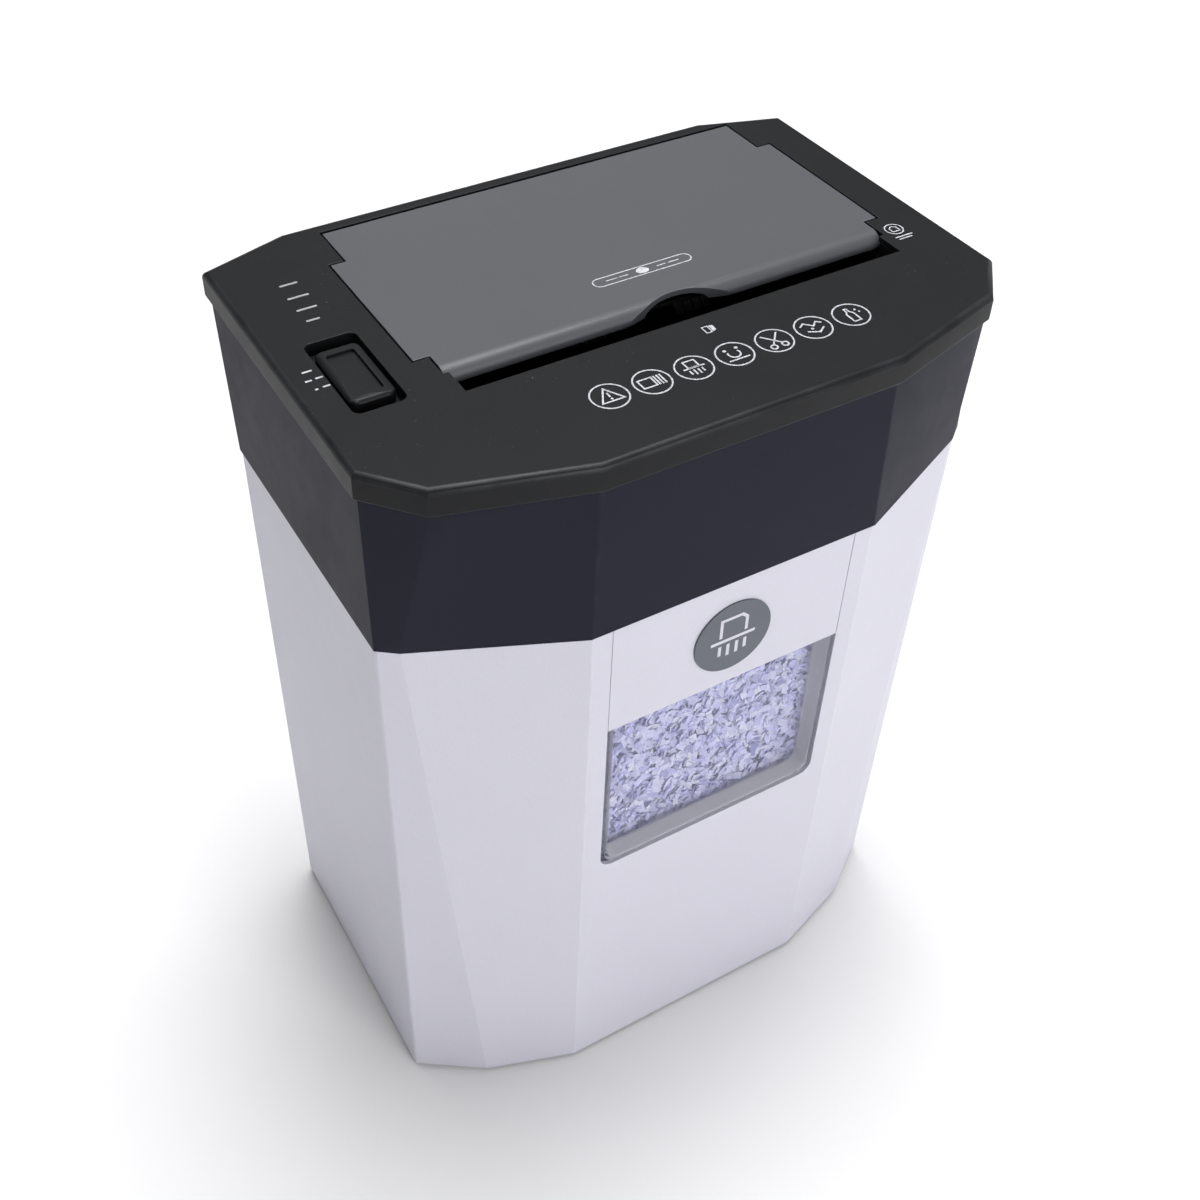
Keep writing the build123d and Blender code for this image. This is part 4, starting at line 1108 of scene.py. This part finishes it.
# %% Dashes by the switch, the sheet mark and the end mark
DASHES = [(-155.6, 1.6, 4.6), (-157.6, -5.2, 3.0), (-152.6, -4.8, 3.4), (-156.8, -12.4, 1.4), (-152.2, -12.0, 3.4)]
for x, y, width in DASHES:
    marks.ribbon([(x - width / 2, y), (x + width / 2, y)], 1.1)
sheet = Vector((14.5, -55.3))
marks.ribbon([sheet + Vector(p) for p in ((-2.6, -2.4), (0.2, -2.4), (0.2, 2.4), (-2.6, 2.4))], 0.55, True)
marks.plate([tuple(sheet + Vector(p)) for p in ((0.9, -2.4), (2.9, -1.6), (2.9, 2.0), (0.9, 2.4))])
end = Vector((143.6, -26.4))
marks.ribbon(arc(end.x, end.y, 4.6, 0, 360, 24), 0.6, True)
marks.ribbon([end + Vector(p) for p in ((-2.1, -2.1), (2.1, -2.1), (2.1, 1.1), (0, 2.6), (-2.1, 1.1))], 0.6, True)
marks.ribbon([end + Vector((-4.6, -7.2)), end + Vector((5.6, -7.2))], 0.8)
marks.ribbon([end + Vector((-4.0, -9.2)), end + Vector((4.0, -9.2))], 0.7)
cover_marks = new_piece("cover_marks", marks.mesh("cover_marks"))
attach(cover_marks, "head")
print("cover marks:", len(cover_marks.data.polygons), "faces")

# %% The seven rings, by Geometry Nodes
graph, given = new_tree(
    "ring_row",
    {
        "Count": ("Int", 7),
        "First": ("Vector", (0, 0, 0)),
        "Step": ("Vector", (0.02, 0, 0)),
        "Radius": ("Float", 0.009),
        "Line Width": ("Float", 0.0006),
        "Ink Thickness": ("Float", 0.0001),
    },
)
circle = graph.add("GeometryNodeCurvePrimitiveCircle", {}, {"Radius": given["Radius"], "Resolution": 40})
section_sockets = {"Width": given["Line Width"], "Height": given["Ink Thickness"]}
section = graph.add("GeometryNodeCurvePrimitiveQuadrilateral", {}, section_sockets)
ring = graph.add("GeometryNodeCurveToMesh", {}, {"Curve": circle, "Profile Curve": section})
line_sockets = {"Count": given["Count"], "Start Location": given["First"], "Offset": given["Step"]}
line = graph.add("GeometryNodeMeshLine", {"mode": "OFFSET"}, line_sockets)
row = graph.add("GeometryNodeInstanceOnPoints", {}, {"Points": line, "Instance": ring})
rings = grow(
    "cover_rings",
    close_tree(graph, row, finishes["printed_ink"]),
    {
        "Count": len(SIGNS),
        "First": (RING_X * MM, RING_Y * MM, (INK_LOW + INK_HIGH) / 2 * MM),
        "Step": (RING_STEP * MM, 0.0, 0.0),
        "Radius": RING_RADIUS * MM,
        "Line Width": LINE * MM,
        "Ink Thickness": (INK_HIGH - INK_LOW) * MM,
    },
)
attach(rings, "head")
print("rings:", volume_of(rings.data))

# %% The lid's mark: an oblong outline with a drop in its middle
lid_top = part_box("lid_panel")[1].z / MM
lid_ink = Ink(lid_top - 0.12, lid_top + 0.05)
LID_MARK = Vector((15.0, 1.5))
HALF, RADIUS = 23.5, 3.4
oblong = arc(HALF, 0, RADIUS, -90, 90, 12) + arc(-HALF, 0, RADIUS, 90, 270, 12)
lid_ink.ribbon([LID_MARK + Vector(p) for p in oblong], 0.6, True)
for start, stop in ((-20, -14), (-13, -8), (8, 13), (14.4, 20.5)):
    lid_ink.ribbon([LID_MARK + Vector((start, 0)), LID_MARK + Vector((stop, 0))], 0.6)
drop = [(0, -2.6), (2.6, -1.7), (3.6, 0.0), (2.4, 1.6), (0.4, 2.9), (-2.2, 1.9), (-3.6, 0.1), (-2.6, -1.8)]
lid_ink.plate([tuple(LID_MARK + Vector(p)) for p in drop])
lid_mark = new_piece("lid_mark", lid_ink.mesh("lid_mark"))
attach(lid_mark, "lid")
print("lid mark:", len(lid_mark.data.polygons), "faces")

# %% The badge's picture: a sheet going into strips
badge_low, badge_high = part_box("front_badge")
picture = Ink(-0.2, 0.05)
picture.ribbon([(-7.3, 1.4), (-7.3, 12.7), (4.5, 12.7), (7.3, 10), (7.3, 1.4)], 1.7)
picture.ribbon([(-12.7, -1.1), (12.7, -1.1)], 1.9)
for x in (-7.3, -2.5, 2.5, 7.3):
    picture.ribbon([(x, -4.1), (x, -12.3 + abs(x) * 0.25)], 1.8)
badge_mesh = picture.mesh("badge_picture")
badge_mesh.transform(
    Matrix.Translation(((badge_low.x + badge_high.x) / 2, badge_low.y, (badge_low.z + badge_high.z) / 2))
    @ Matrix.Rotation(pi / 2, 4, "X")
)
badge_mesh.materials[0] = finishes["white_shell"]
badge_picture = new_piece("badge_picture", badge_mesh)
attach(badge_picture, "bin")
print("badge picture:", volume_of(badge_mesh))

# %% [markdown]
# ## Floor, light and camera
# The object stands on a pale matt floor in a plain white studio. A large soft light hangs above and
# a little behind, so that the shadow falls forwards; one panel lights the front and a weak one the
# right side. Four more lights keep the far floor white all round. The sky is dim overhead and bright
# near the floor, which makes a pale backdrop without flattening the shadows. The camera stands high
# at the left of the front.

# %% Floor
floor_finish = Finish("studio_floor")
dapple = floor_finish.cloud(3, 3)
floor_material = floor_finish.done(
    {
        "Base Color": floor_finish.blend(dapple, paint(228, 228, 229), paint(231, 231, 232)),
        "Roughness": 0.9 + dapple * 0.05,
        "Specular IOR Level": 0.1,
    }
)
floor_mesh = bpy.data.meshes.new("floor")
FLOOR = 2.7
floor_corners = [(x * FLOOR, y * FLOOR, 0) for x, y in ((-1, -1), (1, -1), (1, 1), (-1, 1))]
floor_mesh.from_pydata(floor_corners, [], [(0, 1, 2, 3)])
floor_mesh.materials.append(floor_material)
floor = new_piece("floor", floor_mesh)
floor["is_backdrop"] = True
print("floor", 2 * FLOOR, "m wide")


# %% Lights
def panel_light(name, place, target, size, power, colour=(1.0, 1.0, 1.0)):
    """A square soft light at a place, turned to a target."""
    data = bpy.data.lights.new(name, "AREA")
    data.shape, data.size, data.energy, data.color = "SQUARE", size, power, colour
    lamp = bpy.data.objects.new(name, data)
    lamp.location = place
    lamp.rotation_euler = (Vector(target) - Vector(place)).to_track_quat("-Z", "Y").to_euler()
    scene.collection.objects.link(lamp)
    return lamp


world = bpy.data.worlds.new("studio")
scene.world = world
world.use_nodes = True
sky = Graph(world.node_tree)
world.node_tree.nodes.clear()
white = (1.0, 1.0, 1.0, 1.0)
dome = sky.add("ShaderNodeBackground", {}, {"Color": white, "Strength": 0.21})
skyline = sky.add("ShaderNodeBackground", {}, {"Color": white, "Strength": 0.9})
height = sky.add("ShaderNodeSeparateXYZ", {}, {0: sky.add("ShaderNodeTexCoord", {}, {}, "Generated")}, "Z")
band = {"Value": height, "From Min": 0.16, "From Max": 0.0}
near_floor = sky.add("ShaderNodeMapRange", {"interpolation_type": "SMOOTHSTEP"}, band)
backdrop = sky.add("ShaderNodeMixShader", {}, {0: near_floor, 1: dome, 2: skyline})
sky.add("ShaderNodeOutputWorld", {}, {"Surface": backdrop})
centre = (0.0, 0.0, 0.25)
panel_light("overhead", (0.2, 0.25, 2.4), centre, 1.1, 60)
panel_light("front_right", (0.45, -2.3, 1.2), centre, 1.2, 30.5)
panel_light("right_side", (1.9, 0.3, 1.0), centre, 1.2, 4)
FAR_LIGHTS = [
    ("far_floor", 0.8, 2.6, 90),
    ("far_floor_left", -3.0, 0.0, 60),
    ("far_floor_right", 3.2, 0.4, 60),
    ("far_floor_front", 0.0, -3.6, 60),
]
for name, x, y, power in FAR_LIGHTS:
    panel_light(name, (x, y, 2.6), (x * 1.7, y * 1.7, 0.0), 2.0, power)
scene.view_settings.view_transform = "Standard"
scene.view_settings.look = "None"

# %% Camera
camera_data = bpy.data.cameras.new("camera")
camera = bpy.data.objects.new("camera", camera_data)
camera.location = (-0.32716, -0.50963, 0.83333)
camera.rotation_euler = (0.85096, -0.003, -0.51306)
camera_data.sensor_width, camera_data.lens = 36.0, 44.924
camera_data.shift_x, camera_data.shift_y = 0.0459, -0.0586
camera_data.dof.use_dof = False
scene.collection.objects.link(camera)
scene.camera = camera
print("camera looks from", tuple(round(v, 2) for v in camera.location))

# %% Compare sizes and finish
low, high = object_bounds()
differences = zip([*low, *high], [*cad_low, *cad_high])
print("visual minus frame in mm:", [round(1000 * (a - b), 2) for a, b in differences])
